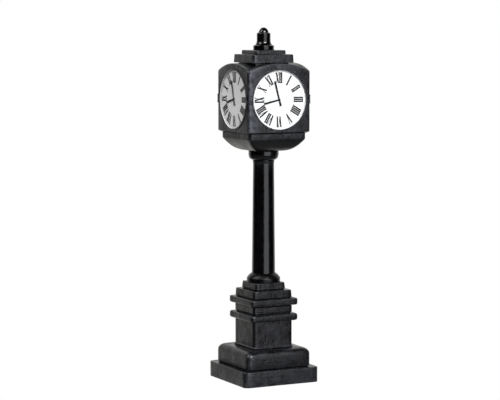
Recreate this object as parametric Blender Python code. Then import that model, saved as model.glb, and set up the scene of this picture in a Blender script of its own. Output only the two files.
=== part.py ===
"""Four-dial cast-iron street clock on a stepped square pedestal, with its drive and motion work.

Metres, +Z up. The origin is the centre of the base slab's underside, and the front dial faces -Y.
Four of everything around the head is made once, in the front face's own frame (X right, Y inward,
Z up, as seen from outside), and placed on the other three sides by an empty turned about Z.
"""

import math

import bmesh
import bpy
from mathutils import Matrix, Vector

# ---- driving dimensions -------------------------------------------------------------------------
TOTAL_HEIGHT = 4.572                 # 15 ft, ground to finial tip
UNIT = TOTAL_HEIGHT / 8.80           # half the side of the base slab
SEAM = 0.0003                        # gap left between touching castings
WALL = 0.012                         # casting wall
HEAVY_WALL = 0.016                   # wall of the slab, the plinth and the cornice
OVERCUT = 0.010                      # how far a cutter reaches past the face it opens
ROUND_STEPS = 28                     # sides of a large turned piece
SMALL_STEPS = 12                     # sides of a rod or a small pipe
RING_STEPS = 40                      # sides of the round openings, bezels and crystals

SLAB_HALF = 1.030 * UNIT
SLAB_TOP = 0.383 * UNIT
SLAB_CORNER = 0.120 * UNIT           # radius of the slab's upright corners
PLINTH_HALF = 0.883 * UNIT
PLINTH_CORNER = 0.115 * UNIT
PLINTH_TOP = 0.850 * UNIT
PLINTH_EDGE = 0.145 * UNIT           # radius of the plinth's rounded top edge
DIE_HALF = 0.545 * UNIT
DIE_CORNER = 0.040 * UNIT
DIE_TOP = 1.522 * UNIT
DIE_FOOT = 0.050 * UNIT              # height of the moulding strip round the die's foot
CORNICE_HALF = 0.648 * UNIT
CORNICE_CORNER = 0.067 * UNIT
CORNICE_EDGE = 0.030                 # height of the rounding on each edge of a band
NECK_HALF = 0.545 * UNIT
LOWER_BAND_TOP = 1.7085 * UNIT
NECK_TOP = 1.912 * UNIT
CORNICE_TOP = 2.0855 * UNIT
STEP_ONE_HALF = 0.541 * UNIT
STEP_ONE_TOP = 2.287 * UNIT
STEP_TWO_HALF = 0.416 * UNIT
STEP_CAP_TOP = 2.469 * UNIT
STEP_CORNER = 0.058 * UNIT
STEP_DRAFT = 0.014 * UNIT            # how far each step leans in over its height

COLLAR_RADIUS = 0.420 * UNIT
COLLAR_BAND_TOP = 2.570 * UNIT
COLLAR_TOP = 2.690 * UNIT
COLLAR_LIP = 0.302 * UNIT            # radius where the collar's slope meets the shaft
COLLAR_BULGE = 0.010 * UNIT          # how far that slope swells outward at its middle
SHAFT_FOOT_RADIUS = 0.2955 * UNIT
SHAFT_TOP_RADIUS = 0.2635 * UNIT
SHAFT_TOP = 5.440 * UNIT
CAPITAL_RADIUS = 0.378 * UNIT
CAPITAL_TOP = 5.752 * UNIT
CAPITAL_NECK = 0.266 * UNIT
CAPITAL_FLARE = 0.105 * UNIT         # radius of the capital's flare
CAPITAL_FLARE_TOP = 5.625 * UNIT

BOWL_FOOT_HALF = 0.360 * UNIT
BOWL_RIM_HALF = 0.784 * UNIT
BOWL_CURVE_TOP = 6.060 * UNIT
BOWL_CURVE_POWER = 2.1
BOWL_TOP = 6.210 * UNIT
HEAD_HALF = 0.862 * UNIT
HEAD_CORNER = 7.720 * UNIT           # height of the head's four top corners
HEAD_CROWN = 7.925 * UNIT            # height of the arch over the middle of each face
DIAL_HEIGHT = 7.040 * UNIT
CURB_HALF = 0.460 * UNIT
CURB_PROUD = 0.002                   # curb top, above the crown of the arches
ROOF_LOWER_HALF = 0.570 * UNIT
ROOF_LOWER_TOP = 8.141 * UNIT
ROOF_UPPER_HALF = 0.425 * UNIT
ROOF_CORNER = 0.067 * UNIT
ROOF_UPPER_TOP = 8.242 * UNIT
FINIAL_RADIUS = 0.260 * UNIT
FINIAL_BAND_TOP = 8.355 * UNIT
FINIAL_FLARE_TOP = 8.480 * UNIT
FINIAL_NECK = 0.172 * UNIT
FINIAL_NECK_TOP = 8.655 * UNIT
FINIAL_DOME = 0.126 * UNIT
FINIAL_STEPS = 20

# ---- dial sides: depths are measured inward from the head's face -------------------------------
WINDOW_RADIUS = 0.727 * UNIT         # clear opening of the bezel ring
CASE_HOLE_RADIUS = WINDOW_RADIUS + 0.0105
CRYSTAL_RADIUS = WINDOW_RADIUS + 0.0088
BEZEL_RADIUS = WINDOW_RADIUS + 0.024
BEZEL_THICKNESS = 0.007
CRYSTAL_DEPTH = (0.0002, 0.0042)
MINUTE_HAND_DEPTH = (0.0120, 0.0140)
HOUR_HAND_DEPTH = (0.0175, 0.0195)
DIAL_DEPTH = (0.0240, 0.0280)
DIAL_RADIUS = WINDOW_RADIUS + 0.018
DIAL_RIM = 0.0065                    # width of the dial's raised rim
HOUR_WHEEL_DEPTH = (0.0340, 0.0440)
MINUTE_WHEEL_DEPTH = (0.0520, 0.0620)
FRAME_HALF = 0.220
FRAME_WALL = 0.008
FRAME_BELOW = 0.125                  # movement frame, below and above the dial centre
FRAME_ABOVE = 0.135
BOSS_OUTER_END = 0.300               # distance of the bearing bosses' outer ends from the clock's axis

MINUTE_HAND_LENGTH = 0.650 * WINDOW_RADIUS
MINUTE_HAND_TAIL = 0.220 * WINDOW_RADIUS
MINUTE_HAND_WIDTH = 0.023
HOUR_HAND_LENGTH = 0.580 * WINDOW_RADIUS
HOUR_HAND_WIDTH = 0.025
HAND_HUB_RADIUS = 0.0165
MINUTE_HAND_ANGLE = math.radians(-15.0)      # clockwise from the top of the dial
HOUR_HAND_ANGLE = math.radians(257.0)

# ---- drive and motion work ----------------------------------------------------------------------
CONDUIT_X = 0.095
CONDUIT_RADIUS = 0.020
ROD_RADIUS = 0.008
ROD_FOOT = 0.588
COUPLING_LOW = 0.610                 # the drive rod's coupling to the motor
COUPLING_HIGH = 0.650
MOTOR_HALF = 0.070
MOTOR_TOP = 0.600
MAST_RADIUS = 0.030
MAST_BORE = 0.022
MAST_FOOT = 0.880
WEB = 0.012                          # thickness of the webs that hold the mast
HUB_RADIUS = MAST_RADIUS + 0.015     # hub of those webs
MINUTE_ARBOR_RADIUS = 0.006
PIPE_BORE = 0.0068
PIPE_RADIUS = 0.012
STUD_RADIUS = 0.005
CLEARANCE = 0.0003
GEAR_SPACING = 0.080                 # minute arbor to intermediate arbor
CANNON_TEETH = 8
MINUTE_WHEEL_TEETH = 24
PINION_TEETH = 8
HOUR_WHEEL_TEETH = 32
DRIVE_BEVEL_TEETH = 24
ARBOR_BEVEL_TEETH = 12
BEVEL_RADIUS = 0.090                 # pitch radius of the driving bevel's outer end
BEVEL_FACE = 0.70                    # inner end of a bevel, as a part of its distance to the apex

# ---- doors --------------------------------------------------------------------------------------
HINGE_PROUD = 0.006                  # hinge axis, in front of the face it is fixed to
KNUCKLE_RADIUS = 0.0055
KNUCKLE_BORE = 0.0028
PIN_RADIUS = 0.0025
KNUCKLE_GAP = 0.001                  # end play of a knuckle between its ears
EAR_LENGTH = 0.015
BEZEL_HINGE_OFFSET = BEZEL_RADIUS + 0.010
BEZEL_KNUCKLE = 0.080
DOOR_WIDTH = 0.360
DOOR_LOW = 0.500
DOOR_HIGH = 0.760
DOOR_THICKNESS = 0.008
DOOR_LAP = 0.015                     # how far the door laps over the edge of its opening
DOOR_KNUCKLE = 0.120
LATCH_OFFSET = 0.150
LATCH_RADIUS = 0.006
TONGUE_LENGTH = 0.045
LATCH_GAP = 0.0025                   # from the tongue to the wall that it locks behind

SIDES = {"front": 0.0, "right": 90.0, "back": 180.0, "left": -90.0}

PALETTE = {                          # colour, roughness, metallic
    "black_iron": ((0.028, 0.028, 0.033), 0.45, 0.0),
    "dial_white": ((0.86, 0.87, 0.87), 0.55, 0.0),
    "hand_black": ((0.030, 0.030, 0.034), 0.50, 0.0),
    "crystal": ((0.90, 0.94, 0.95), 0.05, 0.0),
    "steel": ((0.45, 0.46, 0.48), 0.35, 1.0),
    "brass": ((0.62, 0.46, 0.20), 0.32, 1.0),
    "grey_enamel": ((0.22, 0.25, 0.27), 0.45, 0.0),
    "lamp_glass": ((0.88, 0.86, 0.80), 0.30, 0.0),
}


# ---- helpers ------------------------------------------------------------------------------------
def clear_scene():
    for obj in list(bpy.data.objects):
        bpy.data.objects.remove(obj, do_unlink=True)


def make_materials():
    materials = {}
    for name, (colour, roughness, metallic) in PALETTE.items():
        material = bpy.data.materials.new(name)
        material.use_nodes = True
        shader = material.node_tree.nodes["Principled BSDF"]
        shader.inputs["Base Color"].default_value = (*colour, 1.0)
        shader.inputs["Roughness"].default_value = roughness
        shader.inputs["Metallic"].default_value = metallic
        materials[name] = material
    return materials


def mesh_from(bm, name, smooth=False):
    bmesh.ops.remove_doubles(bm, verts=bm.verts, dist=1e-6)
    bmesh.ops.dissolve_degenerate(bm, edges=bm.edges, dist=1e-6)
    bmesh.ops.recalc_face_normals(bm, faces=bm.faces)
    mesh = bpy.data.meshes.new(name)
    bm.to_mesh(mesh)
    bm.free()
    if smooth:
        mesh.shade_smooth()
        mesh.set_sharp_from_angle(angle=math.radians(35.0))
    return mesh


def place(name, mesh, material=None, parent=None, location=(0, 0, 0), rotation=(0, 0, 0)):
    """Adds one object; a helper with no material is a cutter or a shape to be joined, and stays hidden."""
    obj = bpy.data.objects.new(name, mesh)
    bpy.context.scene.collection.objects.link(obj)
    obj.parent = parent
    obj.location = location
    obj.rotation_euler = rotation
    if material is None:
        obj.hide_render = True
        obj.display_type = "WIRE"
    elif not mesh.materials:
        mesh.materials.append(material)
    return obj


def boolean(target, helper, operation):
    modifier = target.modifiers.new(f"{operation.lower()} {helper.name}", "BOOLEAN")
    modifier.operation = operation
    modifier.solver = "EXACT"
    modifier.object = helper


def cut(target, *cutters):
    for cutter in cutters:
        boolean(target, cutter, "DIFFERENCE")


def join(target, *additions):
    for addition in additions:
        boolean(target, addition, "UNION")


def stack_mesh(rings, name, smooth=False):
    """A closed solid through rings of equally many points, from the lowest ring to the highest."""
    bm = bmesh.new()
    layers = [[bm.verts.new(point) for point in ring] for ring in rings]
    count = len(layers[0])
    for low, high in zip(layers, layers[1:]):
        for index in range(count):
            following = (index + 1) % count
            bm.faces.new((low[index], low[following], high[following], high[index]))
    bm.faces.new(layers[0][::-1])
    bm.faces.new(layers[-1])
    return mesh_from(bm, name, smooth)


def box_mesh(low, high, name):
    corners = [(low[0], low[1]), (high[0], low[1]), (high[0], high[1]), (low[0], high[1])]
    return stack_mesh([[(x, y, z) for x, y in corners] for z in (low[2], high[2])], name)


def boxes_mesh(boxes, name):
    """Several boxes that don't touch, in one mesh, for use as a cutter."""
    bm = bmesh.new()
    for low, high in boxes:
        size = Vector(high) - Vector(low)
        matrix = Matrix.Translation((Vector(low) + Vector(high)) / 2) @ Matrix.Diagonal((*size, 1.0))
        bmesh.ops.create_cube(bm, size=1.0, matrix=matrix)
    return mesh_from(bm, name)


def square_ring(half, height, corner=0.0, corner_steps=3):
    """The points of a square of the given half side, its corners rounded to the radius corner."""
    points = []
    for quarter in range(4):
        turn = math.radians(90 * quarter)
        if corner <= 0.0:
            offsets = [(half, half)]
        else:
            centre = half - corner
            angles = [math.pi / 2 * step / corner_steps for step in range(corner_steps + 1)]
            offsets = [(centre + corner * math.cos(a), centre + corner * math.sin(a)) for a in angles]
        for x, y in offsets:
            points.append((x * math.cos(turn) - y * math.sin(turn),
                           x * math.sin(turn) + y * math.cos(turn), height))
    return points


def square_stack_mesh(stations, name, corner=0.0):
    """A square solid through (half side, height) stations, from the lowest to the highest."""
    return stack_mesh([square_ring(half, height, corner) for half, height in stations], name)


def turned_mesh(profile, name, steps=ROUND_STEPS, axis="Z"):
    """Spins a closed outline of (radius, height) points about Z, or lays the result along Y."""
    bm = bmesh.new()
    verts = [bm.verts.new((radius, 0.0, height)) for radius, height in profile]
    edges = [bm.edges.new((a, b)) for a, b in zip(verts, verts[1:] + verts[:1])
             if a.co.x > 0 or b.co.x > 0]
    bmesh.ops.spin(bm, geom=verts + edges, cent=(0, 0, 0), axis=(0, 0, 1),
                   angle=math.tau, steps=steps, use_merge=True)
    bmesh.ops.remove_doubles(bm, verts=bm.verts, dist=1e-6)
    bm.normal_update()
    cap_centres = [vert for vert in bm.verts if vert.co.xy.length < 1e-6
                   and all(abs(face.normal.z) > 0.999 for face in vert.link_faces)]
    bmesh.ops.dissolve_verts(bm, verts=cap_centres)
    if axis == "Y":
        bmesh.ops.rotate(bm, verts=bm.verts, matrix=Matrix.Rotation(math.radians(-90), 3, "X"))
    return mesh_from(bm, name, smooth=True)


def rod_mesh(radius, low, high, name, steps=SMALL_STEPS, axis="Z", bore=0.0):
    """A rod, or with a bore a pipe, between two heights along its axis."""
    outline = [(bore, high), (radius, high), (radius, low), (bore, low)]
    return turned_mesh(outline, name, steps, axis)


def arc_points(centre, radius, start, end, steps):
    """Points of an arc in a vertical plane, as (across, up), from one angle in degrees to another."""
    points = []
    for step in range(steps + 1):
        angle = math.radians(start + (end - start) * step / steps)
        points.append((centre[0] + radius * math.cos(angle), centre[1] + radius * math.sin(angle)))
    return points


def gear_outline(teeth, root, tip, phase=0.0, root_part=1.0, tip_part=0.2):
    """Points (x, z) of a gear with straight-sided teeth; phase turns it by that part of one pitch.

    root_part and tip_part are a tooth's width at its root and at its tip, as parts of the pitch.
    """
    pitch = math.tau / teeth
    corners = [(tip, -tip_part / 2), (tip, tip_part / 2)]
    if root_part < 1.0:
        corners = [(root, -root_part / 2)] + corners + [(root, root_part / 2)]
    else:
        corners = [(root, -0.5)] + corners
    points = []
    for tooth in range(teeth):
        for radius, part in corners:
            angle = (tooth + phase + part) * pitch
            points.append((radius * math.sin(angle), radius * math.cos(angle)))
    return points


def gear_mesh(outline, near, far, name, far_scale=1.0):
    """A gear along Y between two distances; a far_scale other than 1 makes it a bevel gear."""
    rings = [[(x * scale, y, z * scale) for x, z in outline]
             for y, scale in ((near, 1.0), (far, far_scale))]
    return stack_mesh(rings, name)


def inward(depth):
    """Y in a side's frame for a depth measured inward from the head's face."""
    return depth - HEAD_HALF


# ---- pedestal -----------------------------------------------------------------------------------
def pockets_mesh(half, low, high, rib, name):
    """Four boxes that hollow a square block from below, leaving a cross of ribs."""
    spans = [(-half, -rib / 2), (rib / 2, half)]
    return boxes_mesh([((x0, y0, low), (x1, y1, high)) for x0, x1 in spans for y0, y1 in spans], name)


def conduit_hole(name, low, high):
    mesh = rod_mesh(CONDUIT_RADIUS + CLEARANCE, low, high, name)
    return place(name, mesh, location=(CONDUIT_X, 0, 0))


def make_base(materials):
    """The ground slab and the plinth: two trays, open underneath."""
    iron = materials["black_iron"]
    stations = [(SLAB_HALF, 0.0), (SLAB_HALF, SLAB_TOP)]
    slab = place("base_slab", square_stack_mesh(stations, "base_slab", SLAB_CORNER), iron)
    inner = SLAB_HALF - HEAVY_WALL
    ceiling = SLAB_TOP - HEAVY_WALL
    inside = [(inner, -OVERCUT), (inner, ceiling)]
    hollow = square_stack_mesh(inside, "slab_hollow", SLAB_CORNER - HEAVY_WALL)
    cut(slab, place("slab_hollow", hollow),
        conduit_hole("slab_conduit_hole", ceiling - OVERCUT, SLAB_TOP + OVERCUT))

    low = SLAB_TOP + SEAM
    arc_centre = (PLINTH_HALF - PLINTH_EDGE, PLINTH_TOP - PLINTH_EDGE)
    outside = [(PLINTH_HALF, low)] + arc_points(arc_centre, PLINTH_EDGE, 0, 90, 6)
    inside = [(PLINTH_HALF - HEAVY_WALL, low - OVERCUT)]
    inside += arc_points(arc_centre, PLINTH_EDGE - HEAVY_WALL, 0, 90, 3)
    plinth = place("plinth_block", square_stack_mesh(outside, "plinth_block", PLINTH_CORNER), iron)
    hollow = square_stack_mesh(inside, "plinth_hollow", PLINTH_CORNER - HEAVY_WALL)
    cut(plinth, place("plinth_hollow", hollow),
        conduit_hole("plinth_conduit_hole", PLINTH_TOP - HEAVY_WALL - OVERCUT, PLINTH_TOP + OVERCUT))


def make_die(materials):
    """The hollow block with the access opening in its back."""
    low = PLINTH_TOP + SEAM
    foot = DIE_HALF + 0.010
    stations = [(foot, low), (foot, low + DIE_FOOT * 0.7), (DIE_HALF, low + DIE_FOOT),
                (DIE_HALF, DIE_TOP)]
    die = place("pedestal_die", square_stack_mesh(stations, "pedestal_die", DIE_CORNER),
                materials["black_iron"])
    inner = DIE_HALF - WALL
    inside = [(inner, low - OVERCUT), (inner, DIE_TOP + OVERCUT)]
    cavity = square_stack_mesh(inside, "die_cavity", DIE_CORNER - WALL)
    half = DOOR_WIDTH / 2 - DOOR_LAP
    opening = box_mesh((-half, DIE_HALF - 0.05, DOOR_LOW + DOOR_LAP),
                       (half, DIE_HALF + 0.05, DOOR_HIGH - DOOR_LAP), "door_opening")
    cut(die, place("die_cavity", cavity), place("door_opening", opening))


def cornice_stations(inset, low, high):
    """Heights and half sides of two bands with a neck between them; inset gives the hollow inside."""
    band = CORNICE_HALF - inset
    neck = NECK_HALF - inset
    lip = NECK_HALF - inset if inset else CORNICE_HALF - CORNICE_EDGE / 2
    round_in = 0.0 if inset else CORNICE_EDGE / 2
    rise = 0.0 if inset else CORNICE_EDGE
    return [(lip, low), (lip, low + inset), (band, low + inset + rise),
            (band, LOWER_BAND_TOP - inset - rise), (band - round_in, LOWER_BAND_TOP - inset),
            (neck, LOWER_BAND_TOP - inset), (neck, NECK_TOP + inset), (band - round_in, NECK_TOP + inset),
            (band, NECK_TOP + inset + rise), (band, high - inset - rise), (lip, high - inset), (lip, high)]


def make_cornice(materials):
    """Two projecting hollow bands with a neck between them; a cross web inside carries the mast."""
    low = DIE_TOP + SEAM
    outside = cornice_stations(0.0, low, CORNICE_TOP)
    cornice = place("pedestal_cornice", square_stack_mesh(outside, "pedestal_cornice", CORNICE_CORNER),
                    materials["black_iron"])
    inside = cornice_stations(HEAVY_WALL, low, CORNICE_TOP)
    inside = [(inside[0][0], low - OVERCUT)] + inside[1:-1] + [(inside[-1][0], CORNICE_TOP + OVERCUT)]
    hollow = place("cornice_hollow", square_stack_mesh(inside, "cornice_hollow"))
    leave_web_and_hub(hollow, "cornice", low - 2 * OVERCUT, CORNICE_TOP + 2 * OVERCUT)
    socket = rod_mesh(MAST_RADIUS + CLEARANCE, MAST_FOOT - CLEARANCE, CORNICE_TOP + OVERCUT, "mast_socket")
    passage = rod_mesh(ROD_RADIUS + 0.004, low - OVERCUT, MAST_FOOT + OVERCUT, "rod_passage")
    cut(cornice, hollow, place("mast_socket", socket), place("rod_passage", passage))


def leave_web_and_hub(hollow, name, low, high):
    """Takes a cross web and a round hub out of a hollow, so that they stay in the casting it cuts."""
    arm = SLAB_HALF
    for label, x, y in (("web_x", arm, WEB / 2), ("web_y", WEB / 2, arm)):
        cut(hollow, place(f"{name}_{label}", box_mesh((-x, -y, low), (x, y, high), f"{name}_{label}")))
    cut(hollow, place(f"{name}_hub", rod_mesh(HUB_RADIUS, low, high, f"{name}_hub")))


def make_step_cap(materials):
    low = CORNICE_TOP + SEAM
    stations = [(STEP_ONE_HALF, low), (STEP_ONE_HALF - STEP_DRAFT, STEP_ONE_TOP),
                (STEP_TWO_HALF, STEP_ONE_TOP), (STEP_TWO_HALF - STEP_DRAFT, STEP_CAP_TOP)]
    cap = place("pedestal_step_cap", square_stack_mesh(stations, "pedestal_step_cap", STEP_CORNER),
                materials["black_iron"])
    step_one = STEP_ONE_HALF - STEP_DRAFT - HEAVY_WALL
    step_two = STEP_TWO_HALF - STEP_DRAFT - HEAVY_WALL
    shelf = STEP_ONE_TOP - HEAVY_WALL
    inside = [(step_one, low - OVERCUT), (step_one, shelf), (step_two, shelf),
              (step_two, STEP_CAP_TOP - HEAVY_WALL)]
    hollow = square_stack_mesh(inside, "step_cap_hollow")
    hole = rod_mesh(MAST_RADIUS + CLEARANCE, STEP_CAP_TOP - HEAVY_WALL - OVERCUT, STEP_CAP_TOP + OVERCUT,
                    "step_cap_hole")
    cut(cap, place("step_cap_hollow", hollow), place("step_cap_hole", hole))


# ---- column -------------------------------------------------------------------------------------
def make_column(materials):
    iron = materials["black_iron"]
    low = STEP_CAP_TOP + SEAM
    bore = SHAFT_FOOT_RADIUS + CLEARANCE
    band = COLLAR_RADIUS - 0.004
    middle = ((band + COLLAR_LIP) / 2 + COLLAR_BULGE, (COLLAR_BAND_TOP + COLLAR_TOP) / 2 + COLLAR_BULGE)
    collar = [(COLLAR_RADIUS, low), (bore, low), (bore, COLLAR_TOP), (COLLAR_LIP, COLLAR_TOP), middle]
    collar += [(band, COLLAR_BAND_TOP), (COLLAR_RADIUS, COLLAR_BAND_TOP - 0.004)]
    place("column_collar", turned_mesh(collar[::-1], "column_collar"), iron)

    foot_bore = SHAFT_FOOT_RADIUS - WALL
    top_bore = SHAFT_TOP_RADIUS - WALL
    shaft = [(foot_bore, low), (top_bore, SHAFT_TOP), (SHAFT_TOP_RADIUS, SHAFT_TOP),
             (SHAFT_FOOT_RADIUS, COLLAR_TOP), (SHAFT_FOOT_RADIUS, low)]
    place("column_shaft", turned_mesh(shaft, "column_shaft"), iron)

    low = SHAFT_TOP + SEAM
    flare = arc_points((CAPITAL_NECK, CAPITAL_FLARE_TOP), CAPITAL_FLARE, -85, 0, 6)
    outside = [(CAPITAL_NECK, low)] + flare
    outside += [(CAPITAL_RADIUS, CAPITAL_FLARE_TOP + 0.008), (CAPITAL_RADIUS, CAPITAL_TOP)]
    wide_bore = CAPITAL_RADIUS - 2 * WALL
    inside = [(wide_bore, CAPITAL_TOP), (wide_bore, CAPITAL_FLARE_TOP),
              (top_bore, CAPITAL_FLARE_TOP - CAPITAL_FLARE / 2), (top_bore, low)]
    place("column_capital", turned_mesh(outside + inside, "column_capital"), iron)


# ---- head ---------------------------------------------------------------------------------------
def bowl_stations(inset, low, high):
    """The head's underside: a curve that steepens from the capital out to the rim."""
    foot = BOWL_FOOT_HALF - inset
    rim = BOWL_RIM_HALF - inset
    steps = 7
    stations = []
    for step in range(steps + 1):
        part = step / steps
        height = low + (BOWL_CURVE_TOP - low) * part ** BOWL_CURVE_POWER
        stations.append((foot + (rim - foot) * part, height))
    return stations + [(rim, high)]


def make_bowl(materials):
    low = CAPITAL_TOP + SEAM
    outside = bowl_stations(0.0, low, BOWL_TOP - SEAM)
    bowl = place("head_bowl", square_stack_mesh(outside, "head_bowl"), materials["black_iron"])
    inside = bowl_stations(HEAVY_WALL, low + HEAVY_WALL, BOWL_TOP + OVERCUT)
    hollow = place("bowl_hollow", square_stack_mesh(inside, "bowl_hollow"))
    web_top = BOWL_TOP - 0.060
    leave_web_and_hub(hollow, "bowl", low - OVERCUT, web_top)
    hole = rod_mesh(MAST_RADIUS + CLEARANCE, low - OVERCUT, BOWL_TOP, "bowl_mast_hole")
    cut(bowl, hollow, place("bowl_mast_hole", hole))


def groined_block_mesh(low, drop, name, overhang=0.0, steps=8):
    """A square block as wide as the head, under two equal segmental arches that cross.

    Its top follows the higher of the two arches, lowered by drop. An overhang widens it on every side.
    """
    rise = HEAD_CROWN - HEAD_CORNER
    radius = (HEAD_HALF ** 2 + rise ** 2) / (2 * rise)
    spread = math.asin(HEAD_HALF / radius)
    lines = [radius * math.sin(spread * (2 * step / steps - 1)) for step in range(steps + 1)]
    if overhang:
        lines = [-HEAD_HALF - overhang] + lines + [HEAD_HALF + overhang]
    last = len(lines) - 1

    def top(x, y):
        return HEAD_CROWN - drop - radius + math.sqrt(radius ** 2 - min(abs(x), abs(y)) ** 2)

    bm = bmesh.new()
    grid = [[bm.verts.new((x, y, top(x, y))) for y in lines] for x in lines]
    for i in range(last):
        for j in range(last):
            corners = [grid[i][j], grid[i + 1][j], grid[i + 1][j + 1], grid[i][j + 1]]
            if i + j == last - 1:
                corners = corners[1:] + corners[:1]
            if i == j or i + j == last - 1:
                bm.faces.new((corners[0], corners[1], corners[2]))
                bm.faces.new((corners[0], corners[2], corners[3]))
            else:
                bm.faces.new(corners)
    ends = lines[0], lines[-1]
    square = ((ends[0], ends[0]), (ends[1], ends[0]), (ends[1], ends[1]), (ends[0], ends[1]))
    foot = [bm.verts.new((x, y, low)) for x, y in square]
    walls = [[row[0] for row in grid], grid[-1], [row[-1] for row in grid[::-1]], grid[0][::-1]]
    for index, wall in enumerate(walls):
        bm.faces.new([foot[index], foot[(index + 1) % 4]] + wall[::-1])
    bm.faces.new(foot[::-1])
    return mesh_from(bm, name)


def make_head_case(materials):
    """The head's four walls, with a round opening in each, and the arched lid that lies on them."""
    iron = materials["black_iron"]
    case = place("head_case", groined_block_mesh(BOWL_TOP, WALL + SEAM, "head_case"), iron)
    inner = HEAD_HALF - WALL
    hollow = box_mesh((-inner, -inner, BOWL_TOP - OVERCUT), (inner, inner, HEAD_CROWN + OVERCUT),
                      "case_hollow")
    cut(case, place("case_hollow", hollow))
    reach = HEAD_HALF + OVERCUT
    for name, turn in (("dial_holes_y", 0), ("dial_holes_x", 90)):
        mesh = rod_mesh(CASE_HOLE_RADIUS, -reach, reach, name, RING_STEPS, "Y")
        cut(case, place(name, mesh, location=(0, 0, DIAL_HEIGHT), rotation=(0, 0, math.radians(turn))))

    below = HEAD_CORNER - 4 * WALL
    lid = place("head_lid", groined_block_mesh(below, 0.0, "head_lid"), iron)
    curb_low = (-CURB_HALF, -CURB_HALF, HEAD_CORNER)
    curb_high = (CURB_HALF, CURB_HALF, HEAD_CROWN + CURB_PROUD)
    join(lid, place("roof_curb", box_mesh(curb_low, curb_high, "roof_curb")))
    cut(lid, place("lid_hollow", groined_block_mesh(below - OVERCUT, WALL, "lid_hollow", OVERCUT)))


def make_roof(materials):
    iron = materials["black_iron"]
    low = HEAD_CROWN + CURB_PROUD + SEAM
    stations = [(ROOF_LOWER_HALF, low), (ROOF_LOWER_HALF - 0.006, ROOF_LOWER_TOP)]
    lower = place("roof_lower_slab", square_stack_mesh(stations, "roof_lower_slab", ROOF_CORNER), iron)
    pockets = pockets_mesh(ROOF_LOWER_HALF - 2 * WALL, low - OVERCUT, ROOF_LOWER_TOP - WALL, WALL,
                           "lower_slab_pockets")
    cut(lower, place("lower_slab_pockets", pockets))

    low = ROOF_LOWER_TOP + SEAM
    stations = [(ROOF_UPPER_HALF, low), (ROOF_UPPER_HALF, ROOF_UPPER_TOP)]
    upper = place("roof_upper_slab", square_stack_mesh(stations, "roof_upper_slab", ROOF_CORNER), iron)
    pockets = pockets_mesh(ROOF_UPPER_HALF - 2 * WALL, low - OVERCUT, ROOF_UPPER_TOP - WALL, WALL,
                           "upper_slab_pockets")
    cut(upper, place("upper_slab_pockets", pockets))

    low = ROOF_UPPER_TOP + SEAM
    band = FINIAL_RADIUS - 0.002
    outline = [(FINIAL_RADIUS, low), (FINIAL_RADIUS, FINIAL_BAND_TOP)]
    outline += arc_points((band, FINIAL_FLARE_TOP), band - FINIAL_NECK, 270, 180, 5)
    outline += [(FINIAL_NECK, FINIAL_NECK_TOP)]
    rise = TOTAL_HEIGHT - FINIAL_NECK_TOP
    outline += [(radius, FINIAL_NECK_TOP + height * rise / FINIAL_DOME)
                for radius, height in arc_points((0.0, 0.0), FINIAL_DOME, 0, 90, 6)[:-1]]
    outline += [(0.0, TOTAL_HEIGHT), (0.0, FINIAL_NECK_TOP), (FINIAL_NECK - WALL, FINIAL_NECK_TOP - WALL),
                (FINIAL_NECK - WALL, low)]
    place("finial", turned_mesh(outline, "finial", FINIAL_STEPS), iron)


# ---- drive --------------------------------------------------------------------------------------
def make_drive(materials):
    floor = DIAL_HEIGHT - FRAME_BELOW
    mast = [(MAST_BORE, MAST_FOOT), (MAST_BORE, floor - SEAM), (MAST_RADIUS * 2, floor - SEAM),
            (MAST_RADIUS * 2, floor - 0.010), (MAST_RADIUS, floor - 0.010), (MAST_RADIUS, MAST_FOOT)]
    place("inner_mast", turned_mesh(mast, "inner_mast", SMALL_STEPS), materials["steel"])

    apex_drop = BEVEL_RADIUS * ARBOR_BEVEL_TEETH / DRIVE_BEVEL_TEETH
    top = DIAL_HEIGHT - apex_drop * BEVEL_FACE - 0.002
    coupling = ROD_RADIUS * 2
    rod_outline = [(0.0, ROD_FOOT), (ROD_RADIUS, ROD_FOOT), (ROD_RADIUS, COUPLING_LOW),
                   (coupling, COUPLING_LOW), (coupling, COUPLING_HIGH), (ROD_RADIUS, COUPLING_HIGH),
                   (ROD_RADIUS, top), (0.0, top)]
    rod = place("drive_rod", turned_mesh(rod_outline, "drive_rod", SMALL_STEPS), materials["steel"])
    outline = gear_outline(DRIVE_BEVEL_TEETH, BEVEL_RADIUS - 0.012, BEVEL_RADIUS + 0.005, tip_part=0.18)
    rings = [[(x * k, z * k, DIAL_HEIGHT - apex_drop * k) for x, z in outline] for k in (1.0, BEVEL_FACE)]
    join(rod, place("drive_bevel", stack_mesh(rings, "drive_bevel")))

    low = PLINTH_TOP + SEAM
    shoulder = MOTOR_TOP - 0.040
    motor = [(MOTOR_HALF, low), (MOTOR_HALF, shoulder), (0.75 * MOTOR_HALF, shoulder + 0.006),
             (0.75 * MOTOR_HALF, MOTOR_TOP)]
    body = place("drive_motor", square_stack_mesh(motor, "drive_motor", 0.012), materials["grey_enamel"])
    socket = rod_mesh(ROD_RADIUS + CLEARANCE, ROD_FOOT - 0.001, MOTOR_TOP + OVERCUT, "motor_socket")
    cut(body, place("motor_socket", socket))
    conduit = rod_mesh(CONDUIT_RADIUS, 0.003, PLINTH_TOP + 0.060, "conduit_stub", bore=0.016)
    place("conduit_stub", conduit, materials["steel"], location=(CONDUIT_X, 0, 0))


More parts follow.
